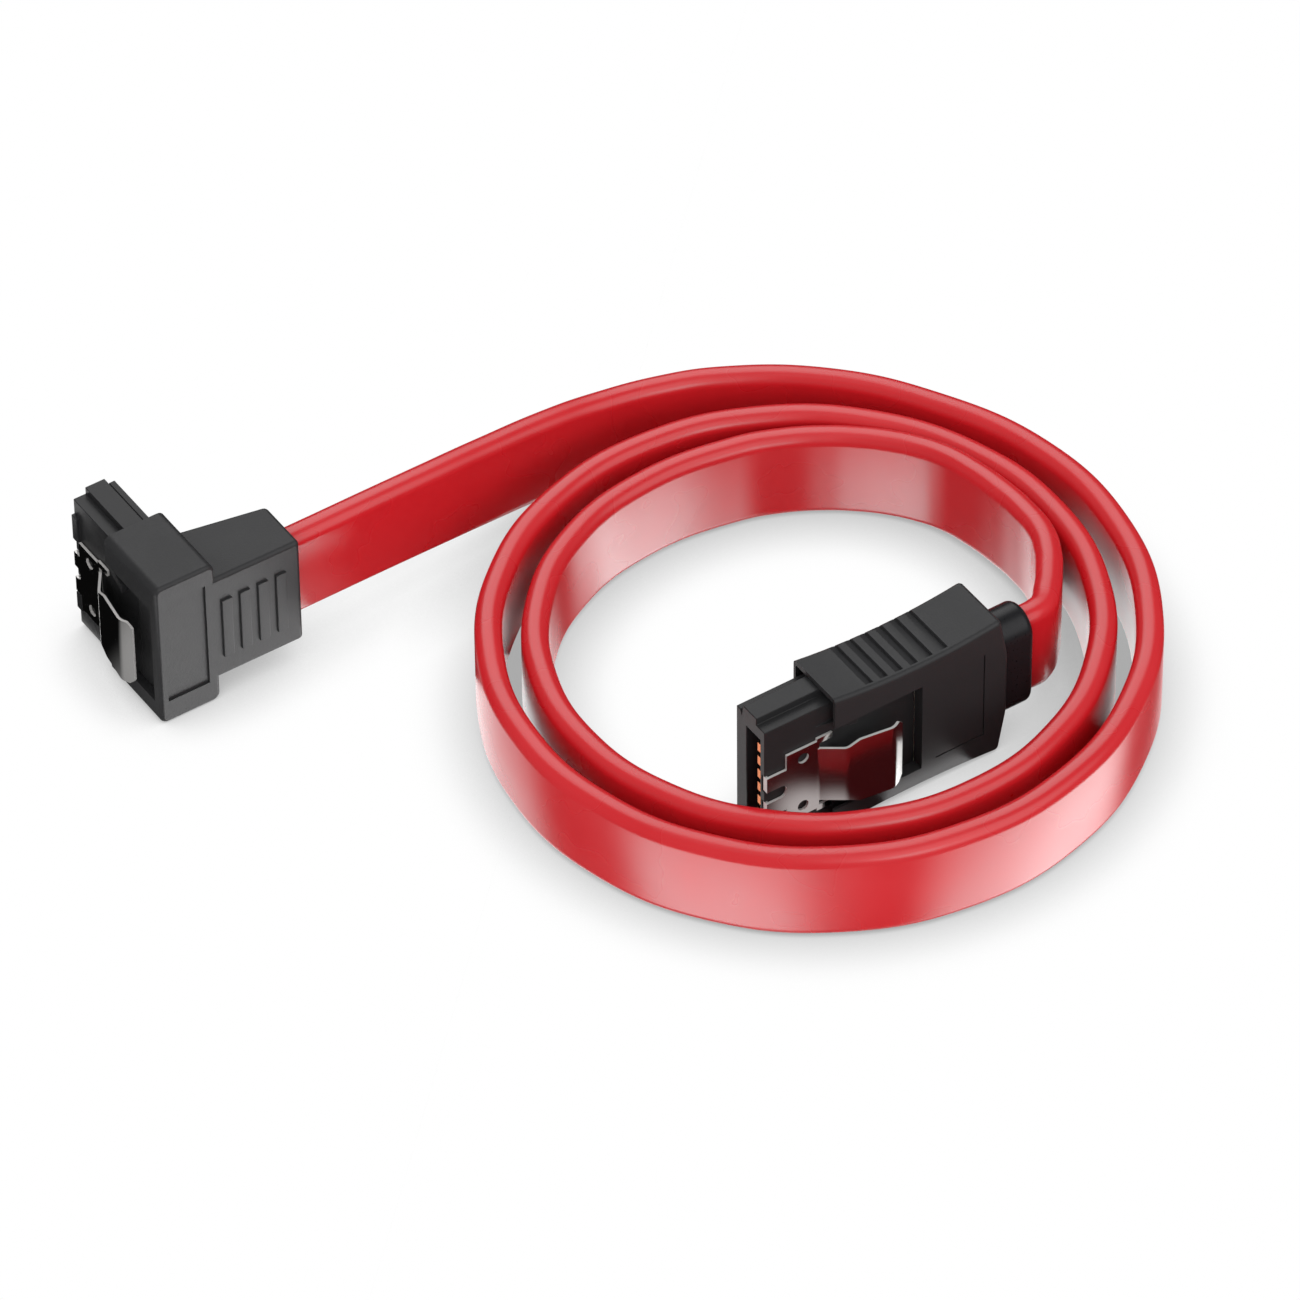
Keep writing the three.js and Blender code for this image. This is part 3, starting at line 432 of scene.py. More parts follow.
def add_piece(name, body, place, material, replaced, edge=0.0):
    """Turns a bmesh in millimetres into a finished piece in the model."""
    bmesh.ops.remove_doubles(body, verts=body.verts, dist=WELD)
    bmesh.ops.dissolve_limit(body, angle_limit=SHALLOW, verts=body.verts, edges=body.edges)
    bmesh.ops.recalc_face_normals(body, faces=body.faces)
    draft = working_object("draft", body)
    draft.data.shade_smooth()
    draft.data.set_sharp_from_angle(angle=SHARP)
    if edge > 0:
        bevel = draft.modifiers.new("Edge", "BEVEL")
        bevel.width = edge
        bevel.segments = 2
        bevel.limit_method = "ANGLE"
        bevel.angle_limit = BEVELLED
        bevel.miter_outer = "MITER_SHARP"
        bevel.harden_normals = True
    else:
        weighted = draft.modifiers.new("Shading", "WEIGHTED_NORMAL")
        weighted.keep_sharp = True
    mesh = evaluated_mesh(draft)
    spent = draft.data
    bpy.data.objects.remove(draft)
    bpy.data.meshes.remove(spent)
    mesh.transform(place)
    mesh.name = name
    mesh.materials.clear()
    mesh.materials.append(material)
    piece = bpy.data.objects.new(name, mesh)
    bpy.context.collection.objects.link(piece)
    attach(piece, "root")
    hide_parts(*replaced)
    return piece


def finish_of(kind):
    """A material by its name, made the first time that it is asked for."""
    found = bpy.data.materials.get(kind)
    if found:
        return found
    colours = bpy.context.scene.plug_finishes
    makers = {
        "PVC Overmoulding Black": lambda: moulded_pvc(
            kind, colours.hood, roughness=0.42, grain=0.16, depth=0.02),
        "PBT Insulator Black": lambda: moulded_pvc(
            kind, colours.nose, roughness=0.36, grain=0.12, depth=0.01),
        "PVC Collar Smooth Black": lambda: moulded_pvc(
            kind, colours.relief, roughness=0.3, grain=0.3, depth=0.001),
        "PE Core Natural": lambda: moulded_pvc(
            kind, linear("#D8D4C4"), roughness=0.5, grain=0.3, depth=0.02),
        "PE Wire Sleeve White": lambda: moulded_pvc(
            kind, linear("#E6E2D8"), roughness=0.45, grain=0.3, depth=0.01),
        "Stainless Spring Sheet": lambda: rolled_metal(
            kind, colours.steel, roughness=0.14, line=0.08),
        "Copper Alloy Contact": lambda: rolled_metal(
            kind, colours.copper, roughness=0.24, line=0.05),
        "Tinned Copper Wire": lambda: rolled_metal(
            kind, linear("#B9B6AE"), roughness=0.3, line=0.05),
        "PVC Jacket Red": lambda: extruded_pvc(kind, bpy.context.scene.flat_cable.colour),
    }
    return makers[kind]()


def cable_route(settings):
    """Points of the cable's middle line, in metres, from inside one plug to inside the other."""
    points = [Vector(ANGLED_EXIT) - Vector((depth, 0, 0))
              for depth in (ANGLED_TAIL, ANGLED_TAIL / 2, 0)]
    points += [Vector(point) for point in LEAD_IN]
    radius = settings.coil_radius / MM
    pitch = settings.coil_pitch / MM
    middle_height = settings.width / MM / 2
    for i in range(COIL_POINTS + 1):
        turn = settings.coil_start + (settings.coil_end - settings.coil_start) * i / COIL_POINTS
        reach = radius - pitch * turn / (2 * math.pi)
        points.append(Vector((COIL_CENTRE[0] + reach * math.sin(turn),
                              COIL_CENTRE[1] + reach * math.cos(turn), middle_height)))
    points += [Vector(point) for point in LEAD_OUT]
    points += [Vector(STRAIGHT_EXIT) - Vector((depth, 0, 0))
               for depth in (0, STRAIGHT_TAIL / 2, STRAIGHT_TAIL)]
    return [point * MM for point in points]


def smooth_path(points, steps):
    """A Bezier curve through the route's points, with so many steps from each to the next."""
    curve = bpy.data.curves.new("route", "CURVE")
    curve.dimensions = "3D"
    curve.resolution_u = steps
    spline = curve.splines.new("BEZIER")
    spline.bezier_points.add(len(points) - 1)
    for knot, point in zip(spline.bezier_points, points):
        knot.co = point
        knot.handle_left_type = "AUTO"
        knot.handle_right_type = "AUTO"
    return curve


class CABLE_OT_camera(bpy.types.Operator):
    """Places the camera at the photograph's viewpoint"""

    bl_idname = "cable.camera"
    bl_label = "Camera"

    def execute(self, context):
        data = bpy.data.cameras.new("Camera")
        data.sensor_width = 36.0
        data.lens = 278.07
        data.clip_start = 0.01
        data.clip_end = 20.0
        camera = bpy.data.objects.new("Camera", data)
        context.collection.objects.link(camera)
        right = Vector((0.83002369, -0.5576704, -0.0080255))
        up = Vector((0.39263269, 0.57404467, 0.71854874))
        forward = Vector((0.39610636, 0.59956355, -0.6954303))
        turn = Matrix((right, up, -forward)).transposed().to_4x4()
        eye = (-0.275134, -0.429614, 0.497089)
        camera.matrix_world = Matrix.Translation(eye) @ turn
        context.scene.camera = camera
        return {"FINISHED"}


class CABLE_OT_jacket(bpy.types.Operator):
    bl_idname = "cable.jacket"
    bl_label = "Jacket"

    def execute(self, context):
        settings = context.scene.flat_cable
        section = bpy.data.curves.new("section", "CURVE")
        section.dimensions = "2D"
        outline = section.splines.new("POLY")
        half = settings.thickness / 2 - settings.corner
        tall = settings.width / 2 - settings.corner
        corners = [(half, tall, 0), (-half, tall, 90), (-half, -tall, 180), (half, -tall, 270)]
        arc_steps = 7
        ring = [(x + settings.corner * math.cos(math.radians(start + 90 * i / arc_steps)),
                 y + settings.corner * math.sin(math.radians(start + 90 * i / arc_steps)))
                for x, y, start in corners for i in range(arc_steps + 1)]
        outline.points.add(len(ring) - 1)
        for point, (x, y) in zip(outline.points, ring):
            point.co = (x, y, 0, 1)
        outline.use_cyclic_u = True
        profile = bpy.data.objects.new("section", section)
        context.collection.objects.link(profile)
        route = smooth_path(cable_route(settings), JACKET_STEPS)
        route.twist_mode = "Z_UP"
        route.bevel_mode = "OBJECT"
        route.bevel_object = profile
        route.use_fill_caps = True
        draft = bpy.data.objects.new("route", route)
        context.collection.objects.link(draft)
        mesh = evaluated_mesh(draft)
        for spent in (draft, profile):
            bpy.data.objects.remove(spent)
        mesh.name = "cable_jacket"
        mesh.uv_layers[0].name = "Jacket"
        mesh.shade_smooth()
        mesh.materials.append(finish_of("PVC Jacket Red"))
        jacket = bpy.data.objects.new("cable_jacket", mesh)
        context.collection.objects.link(jacket)
        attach(jacket, "root")
        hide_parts("flat_cable")
        return {"FINISHED"}


class CABLE_OT_straight_hood(bpy.types.Operator):
    """Models the straight plug's hood with its pocket, grip grooves and moulded line"""

    bl_idname = "cable.straight_hood"
    bl_label = "Straight Hood"

    def execute(self, context):
        settings = context.scene.plug_hoods
        length = settings.straight_length / MM
        height = settings.straight_height / MM
        latch_side = 1.0
        far_side = latch_side - settings.straight_thickness / MM
        waist_top, waist_bottom, waist_steps = 0.55, 0.32, 12
        bulge, taper, rear_round = 0.65, 3.5, 0.35

        def drawn_in(distance, depth):
            """How far the waist draws the top or the bottom in, behind the mouth."""
            share = min(max(distance / length, 0), 1)
            return depth * 4 * share * (1 - share)

        distances = [length * i / waist_steps for i in range(waist_steps + 1)]
        corners = [(BEYOND, far_side, 0), (BEYOND, far_side, height)]
        corners += [(-d, far_side, height - drawn_in(d, waist_top)) for d in distances]
        corners += [(-length - bulge, far_side, height - taper), (-length - bulge, far_side, taper)]
        corners += [(-d, far_side, drawn_in(d, waist_bottom)) for d in reversed(distances)]
        body = extruded(corners, (0, latch_side - far_side, 0))
        rear = -length + 0.1
        round_edges(body, rear_round, 3, lambda edge: (
            runs_along(edge, 1) and edge.verts[0].co.x < rear))
        round_edges(body, settings.edge_round / MM, 5, lambda edge: (
            lies_at(edge, 1, far_side) or lies_at(edge, 1, latch_side)))
        mouth_wall, mouth_depth = 0.25, 2.0
        pocket_depth, pocket_low, pocket_high = 7.4, 1.95, 9.9
        hollow_depth, hollow_low = 12.5, 1.25
        tools = [
            block(0, 2 * BEYOND, far_side - BEYOND, latch_side + BEYOND, -BEYOND, height + BEYOND),
            block(-mouth_depth, BEYOND, far_side + mouth_wall, latch_side - mouth_wall,
                  STRAIGHT.nose_bottom - FIT, STRAIGHT.nose_top + FIT),
            block(-pocket_depth, BEYOND, 0, latch_side + BEYOND, pocket_low, pocket_high),
            block(-hollow_depth, BEYOND, -NOSE_THICKNESS, FIT, hollow_low,
                  STRAIGHT.nose_top - BASE_INSET),
        ]
        grip_start, grip_edge = 3.45, 0.45
        slope, bite, lean = 0.6, 0.25, 0.12
        for i in range(settings.grip_count):
            back = grip_start + i * settings.grip_pitch / MM
            top = height - drawn_in(back, waist_top)
            tooth = [(-back + slope, top + bite), (-back + slope, top), (-back, top - bite),
                     (-back - lean, top + bite)]
            tools.append(extruded([(x, far_side - BEYOND, z) for x, z in tooth],
                                  (0, latch_side - grip_edge - far_side + BEYOND, 0)))
        line, overlap = 0.12, 0.01
        line_back, line_front, line_low, line_high = -12.6, -8.6, 2.3, 10.1
        for x0, x1, z1 in ((line_back - line, line_back, line_high),
                           (line_back - overlap, line_front, line_low + line)):
            tools.append(block(x0, x1, latch_side - line, latch_side + BEYOND, line_low, z1))
        body = carve(body, tools)
        add_piece("straight_hood_moulding", body, STRAIGHT.place,
                  finish_of("PVC Overmoulding Black"), ["straight_hood"])
        return {"FINISHED"}


class CABLE_OT_angled_hood(bpy.types.Operator):
    """Models the right-angled hood with its window, bare panel, ribs and cable block"""

    bl_idname = "cable.angled_hood"
    bl_label = "Right-Angled Hood"

    def execute(self, context):
        settings = context.scene.plug_hoods
        height = settings.flange_height / MM
        depth = settings.flange_depth / MM
        latch_side = 0.675
        flange_far = latch_side - 4.95
        exit_face = flange_far - settings.block_length / MM
        flange_corner, flange_round = 0.6, 0.3
        flange = block(-depth, 0, flange_far, latch_side, 0, height)
        round_edges(flange, flange_corner, 5, lambda edge: runs_along(edge, 0))
        round_edges(flange, flange_round, 4, lambda edge: lies_at(edge, 0, -depth))
        block_bottom, block_top, block_round = 2.05, 11.54, 0.35
        front, back, overlap = 5.8, 4.45, 2.5
        inside = flange_far + overlap
        rear = extruded([(-depth, inside, block_bottom), (-depth + front, inside, block_bottom),
                         (-depth + front, flange_far, block_bottom),
                         (-depth + back, exit_face, block_bottom),
                         (-depth, exit_face, block_bottom)], (0, 0, block_top - block_bottom))
        round_edges(rear, block_round, 4, lambda edge: (
            not lies_at(edge, 1, inside) and (lies_at(edge, 2, block_bottom)
                                              or lies_at(edge, 2, block_top)
                                              or lies_at(edge, 1, exit_face))))
        rib_start, rib_width, rib_rise, rib_round = 5.32, 0.85, 0.18, 0.06
        rib_low, rib_high = 3.95, 9.37
        rib_face = -depth - rib_rise
        ribs = []
        for i in range(settings.rib_count):
            side = latch_side - rib_start - i * settings.rib_pitch / MM
            rib = block(rib_face, -depth + FIT, side - rib_width, side, rib_low, rib_high)
            ribs.append(round_edges(rib, rib_round, 2, lambda edge: lies_at(edge, 0, rib_face)))
        body = carve(flange, [rear, *ribs], "UNION")
        window_wall, window_low, window_high = 0.8, 1.8, 10.6
        panel_side = latch_side - 0.66
        panel_width, panel_low, panel_high, recess = 3.44, 2.0, 11.4, 0.18
        tools = [
            block(-depth + window_wall, BEYOND, 0, latch_side + BEYOND, window_low, window_high),
            block(-ANGLED.base_length - FIT, BEYOND, -NOSE_THICKNESS - FIT, FIT,
                  ANGLED.nose_bottom + BASE_INSET - FIT, ANGLED.nose_top - BASE_INSET + FIT),
            block(-depth - BEYOND, -depth + recess, panel_side - panel_width, panel_side,
                  panel_low, panel_high),
        ]
        body = carve(body, tools)
        add_piece("angled_hood_moulding", body, ANGLED.place,
                  finish_of("PVC Overmoulding Black"), ["angled_hood"])
        return {"FINISHED"}


def latch_levels(plug):
    """Heights of the latch's plate and claws."""
    top = plug.latch_bottom + PLATE_HEIGHT
    upper = (top - CLAW_TOP_DROP - CLAW_HEIGHT, top - CLAW_TOP_DROP)
    lower = (upper[0] - CLAW_GAP - CLAW_HEIGHT, upper[0] - CLAW_GAP)
    return plug.latch_bottom, top, upper, lower


def add_nose(plug):
    """Models a plug's insulator: the keyed nose, its slot and the channels of the contacts."""
    top, bottom, far = plug.nose_top, plug.nose_bottom, -NOSE_THICKNESS
    shoulder, step, ridge = top - 0.6, -1.0, -2.6
    notch_half, notch_depth, chamfer = 0.18, 0.35, 0.3
    profile = [(0, bottom + chamfer), (0, shoulder), (step, shoulder), (step, top), (ridge, top),
               (ridge - notch_half, shoulder - notch_depth), (ridge - 2 * notch_half, shoulder),
               (far, shoulder), (far, bottom + chamfer), (far + chamfer, bottom), (-chamfer, bottom)]
    nose = extruded([(plug.base_front, y, z) for y, z in profile],
                    (NOSE_REACH - plug.base_front, 0, 0))
    base = block(-plug.base_length, plug.base_front + FIT, far, 0, bottom + BASE_INSET,
                 top - BASE_INSET)
    _, plate_top, upper, lower = latch_levels(plug)
    guard = plate_top + 0.5
    guard_front, guard_back, guard_rise, guard_height = 1.4, -2.1, 0.7, 0.75
    wedge = extruded([(guard_front, -FIT, guard), (guard_back, guard_rise, guard),
                      (guard_back, -FIT, guard)], (0, 0, guard_height))
    joined = [base, wedge]
    if plug.has_tip_pads:
        pad_length, pad_rise = 0.7, 0.25
        upper_gap, upper_pad, lower_gap, lower_pad = 1.2, 2.3, 0.2, 1.5
        joined += [block(NOSE_REACH - pad_length, NOSE_REACH, -FIT, pad_rise, low, low + tall)
                   for low, tall in ((upper[1] + upper_gap, upper_pad),
                                     (lower[0] - lower_gap - lower_pad, lower_pad))]
    body = carve(nose, joined, "UNION")
    slot_top, slot_low = top - 1.65, bottom + 0.75
    slot_far = -SLOT_WALL - SLOT_WIDTH
    key_far, key_top = slot_far - 0.6, slot_low + 1.1
    slot = [(-SLOT_WALL, slot_low), (-SLOT_WALL, slot_top), (slot_far, slot_top),
            (slot_far, key_top), (key_far, key_top), (key_far, slot_low)]
    tools = [extruded([(SLOT_FLOOR, y, z) for y, z in slot],
                      (NOSE_REACH + BEYOND - SLOT_FLOOR, 0, 0))]
    for low, high in (upper, lower):
        tools.append(block(NOSE_REACH - SHEET - 2 * FIT, NOSE_REACH + BEYOND, -CLAW_WRAP - FIT,
                           BEYOND, low - FIT, high + FIT))
    channel_far = -SLOT_WALL - CONTACT_THICKNESS - 2 * FIT
    half = CONTACT_HEIGHT / 2 + FIT
    first = top - CONTACT_TOP_LAND - CONTACT_HEIGHT / 2
    for i in range(CONTACT_COUNT):
        level = first - CONTACT_PITCH * i
        tools.append(block(-plug.base_length - BEYOND, SLOT_FLOOR + BEYOND, channel_far,
                           -SLOT_WALL, level - half, level + half))
    body = carve(body, tools)
    add_piece(f"{plug.name}_nose_moulding", body, plug.place, finish_of("PBT Insulator Black"),
              [f"{plug.name}_insulator"], edge=0.06)


def add_latch(plug):
    """Models a plug's spring latch from one bent sheet."""
    bottom, top, upper, lower = latch_levels(plug)
    middle = (bottom + top) / 2
    back, front = plug.latch_back, plug.latch_back + PLATE_LENGTH
    wrap = NOSE_REACH - FIT
    y0, y1 = FIT, FIT + SHEET
    barb, half, notch_round = 1.1, 0.25, 0.45
    outline = [(front, bottom), (front, lower[0]), (wrap, lower[0]),
               (wrap, lower[1]), (front, lower[1]), (front, upper[0]), (wrap, upper[0]),
               (wrap, upper[1]), (front, upper[1]), (front, top), (back + SHEET, top),
               (back + SHEET, top + half), (back - barb, top + half), (back - barb, top - half),
               (back, top - half), (back, bottom + half), (back - barb, bottom + half),
               (back - barb, bottom - half), (back + SHEET, bottom - half), (back + SHEET, bottom)]
    plate = extruded([(x, y0, z) for x, z in outline], (0, SHEET, 0))
    round_edges(plate, notch_round, 5, lambda e: runs_along(e, 1) and lies_at(e, 0, front) and (
        lies_at(e, 2, lower[1]) or lies_at(e, 2, upper[0])))
    tab = bmesh.new()
    neck_run, neck_rise, flare_run, flare_rise = 1.65, 1.15, 0.97, 0.14
    tab_run, tab_rise, narrow, wide = 3.55, 0.5, 2.5, 2.95
    knee = back - neck_run
    lip = knee - tab_run
    crest = y0 + neck_rise + tab_rise
    # The tab from the side, plate to turned-down lip, each point with half the width there
    rows = [(back + SHEET, y0, narrow), (back, y0, narrow), (knee, y0 + neck_rise, narrow),
            (knee - flare_run, y0 + neck_rise + flare_rise, wide), (lip, crest, wide),
            (lip - 0.55, crest - 0.28, wide), (lip - 0.95, crest - 0.48, narrow)]
    edge = tab.edges.new([tab.verts.new((rows[0][0], rows[0][1], middle + side * rows[0][2]))
                          for side in (-1, 1)])
    for x, y, reach in rows[1:]:
        grown = bmesh.ops.extrude_edge_only(tab, edges=[edge])
        ends = [item for item in grown["geom"] if isinstance(item, bmesh.types.BMVert)]
        edge = [item for item in grown["geom"] if isinstance(item, bmesh.types.BMEdge)
                and all(vert in ends for vert in item.verts)][0]
        for vert in ends:
            vert.co = (x, y, middle + (reach if vert.co.z > middle else -reach))
    bend_round = 0.3
    round_edges(tab, bend_round, 4, lambda e: runs_along(e, 2) and any(
        lies_at(e, 0, x) for x in (back, knee, lip)))
    bmesh.ops.recalc_face_normals(tab, faces=tab.faces)
    if sum(face.normal.y for face in tab.faces) > 0:
        bmesh.ops.reverse_faces(tab, faces=tab.faces)
    bmesh.ops.solidify(tab, geom=tab.faces, thickness=SHEET)
    wraps = [block(wrap - SHEET, wrap, y0 - CLAW_WRAP, y1, low, high)
             for low, high in (upper, lower)]
    body = carve(plate, [tab, *wraps], "UNION")
    hole_inset, hole_run, hole_radius = 0.95, 1.35, 0.45
    across = Matrix.Rotation(math.radians(90), 4, "X")
    holes = []
    for z in (top - hole_inset, bottom + hole_inset):
        drill = bmesh.new()
        place = Matrix.Translation((back + hole_run, y0, z)) @ across
        bmesh.ops.create_cone(drill, cap_ends=True, segments=24, radius1=hole_radius,
                              radius2=hole_radius, depth=BEYOND, matrix=place)
        holes.append(drill)
    body = carve(body, holes)
    piece = add_piece(
        f"{plug.name}_spring_latch", body, plug.place, finish_of("Stainless Spring Sheet"),
        [f"{plug.name}_latch"], edge=0.03)
    # Marks the sheared rim: the faces that don't look out of the sheet's broad sides
    outward = plug.place.to_3x3().normalized() @ Vector((0, 1, 0))
    broad = 0.75
    sheared = piece.data.attributes.new("sheared", "FLOAT", "FACE")
    for face, mark in zip(piece.data.polygons, sheared.data):
        mark.value = float(abs(face.normal.dot(outward)) < broad)


class CABLE_OT_noses(bpy.types.Operator):
    """Models the insulators of both plugs"""

    bl_idname = "cable.noses"
    bl_label = "Insulators"

    def execute(self, context):
        for plug in (STRAIGHT, ANGLED):
            add_nose(plug)
        return {"FINISHED"}


class CABLE_OT_latches(bpy.types.Operator):
    """Models the spring latches of both plugs"""

    bl_idname = "cable.latches"
    bl_label = "Latches"

    def execute(self, context):
        for plug in (STRAIGHT, ANGLED):
            add_latch(plug)
        return {"FINISHED"}


class CABLE_OT_collar(bpy.types.Operator):
    """Models the smooth collar that the cable leaves the straight plug through"""

    bl_idname = "cable.collar"
    bl_label = "Strain Relief"

    def execute(self, context):
        axis_y, axis_z = -1.35, 6.25
        height, thickness, rim = 8.8, 3.6, 0.55
        front, back = -12.0, -17.45
        half = thickness / 2
        straight = height / 2 - half
        steps = 16
        ring = [(back, axis_y + half * math.cos(math.radians(start + 180 * i / steps)),
                 axis_z + lift + half * math.sin(math.radians(start + 180 * i / steps)))
                for lift, start in ((straight, 0), (-straight, 180)) for i in range(steps + 1)]
        body = extruded(ring, (front - back, 0, 0))
        round_edges(body, rim, 6, lambda edge: lies_at(edge, 0, back))
        add_piece("straight_collar_moulding", body, STRAIGHT.place,
                  finish_of("PVC Collar Smooth Black"),
                  ["straight_strain_relief"])
        return {"FINISHED"}


class CABLE_OT_inner_parts(bpy.types.Operator):
    """Gives the contacts, wires and cores their finishes, and every hidden solid its own too"""

    bl_idname = "cable.inner_parts"
    bl_label = "Contacts and Wires"

    def execute(self, context):
        kinds = {
            "hood_plastic": "PVC Overmoulding Black", "nose_plastic": "PBT Insulator Black",
            "relief_plastic": "PVC Collar Smooth Black", "spring_steel": "Stainless Spring Sheet",
            "contact_copper": "Copper Alloy Contact", "core_plastic": "PE Core Natural",
            "wire_sleeve": "PE Wire Sleeve White", "wire_tinned": "Tinned Copper Wire",
            "cable_jacket": "PVC Jacket Red",
        }
        for entry in frame["record"]["subparts"]:
            mesh = frame["nodes"][entry["node"]].data
            mesh.materials.clear()
            mesh.materials.append(finish_of(kinds[entry["material_slot"]]))
        return {"FINISHED"}


class CABLE_OT_declare_cord(bpy.types.Operator):
    bl_idname = "cable.declare_cord"
    bl_label = "Declare Cord"

    def execute(self, context):
        settings = context.scene.flat_cable
        draft = bpy.data.objects.new("route", smooth_path(cable_route(settings), JACKET_STEPS))
        context.collection.objects.link(draft)
        path = [vert.co.copy() for vert in evaluated_mesh(draft).vertices]
        bpy.data.objects.remove(draft)
        return {"FINISHED"}


def add_painted_reflection(name, corners, dark, light, centre, reach):
    """Lays a glowing card on the floor that only gloss shows, as a painted reflection: dark, and light
    round one point.
    """
    card = working_object(name, flat_face(corners))
    card.data.transform(Matrix.Scale(MM, 4))
    for kind in ("camera", "diffuse", "shadow", "transmission"):
        setattr(card, f"visible_{kind}", False)
    material, tree, output = new_material(name)
    place = add_node(tree, "ShaderNodeTexCoord")
    apart = add_node(tree, "ShaderNodeVectorMath", {"operation": "DISTANCE"}, {
        0: place.outputs["Object"], 1: Vector((*centre, 0)) * MM})
    fall = add_node(tree, "ShaderNodeMapRange", SMOOTH, {
        "Value": apart.outputs["Value"], "From Min": reach * MM, "From Max": reach * MM / 4})
    tone = add_node(tree, "ShaderNodeMix", {"data_type": "RGBA"}, {
        "Factor": fall.outputs["Result"], COLOUR_A: linear(dark), COLOUR_B: linear(light)})
    # The card glows with the painted reflection's colour, though it is no lamp
    glow = add_node(tree, "ShaderNodeEmission", inputs={"Color": tone.outputs[COLOUR_RESULT]})
    tree.links.new(glow.outputs["Emission"], output.inputs["Surface"])
    card.data.materials.append(material)


def white_paper(name):
    """Matt white paper.

    The camera sees it glow plain white with a painted neutral contact shadow, and no red from the jacket.
    """
    made, tree, output = new_material(name)
    rays = add_node(tree, "ShaderNodeLightPath")
    paper = add_node(tree, "ShaderNodeBsdfDiffuse", inputs={"Color": linear("#F6F6F6")})
    shadow_reach = 7.0
    # Painted contact shadow: ambient occlusion near the cable and plugs dims the glow that the camera sees
    near = add_node(tree, "ShaderNodeAmbientOcclusion", {"samples": 12}, {
        "Distance": shadow_reach * MM})
    shade = add_node(tree, "ShaderNodeMapRange", inputs={
        "Value": near.outputs["AO"], "From Min": 0.2, "From Max": 0.85, "To Min": 0.4,
        "To Max": 1.0})
    glow = add_node(tree, "ShaderNodeEmission", inputs={
        "Color": linear("#FFFFFF"), "Strength": shade.outputs["Result"]})
    both = add_node(tree, "ShaderNodeMixShader", inputs={
        "Fac": rays.outputs["Is Camera Ray"], 1: paper.outputs["BSDF"],
        2: glow.outputs["Emission"]})
    tree.links.new(both.outputs["Shader"], output.inputs["Surface"])
    return made


def add_lamp(name, kind, energy, place):
    """Hangs a lamp, which shines along its own -Z, and returns its data."""
    lamp = bpy.data.lights.new(name, kind)
    lamp.energy = energy
    holder = bpy.data.objects.new(name, lamp)
    holder.matrix_world = place
    bpy.context.collection.objects.link(holder)
    return lamp


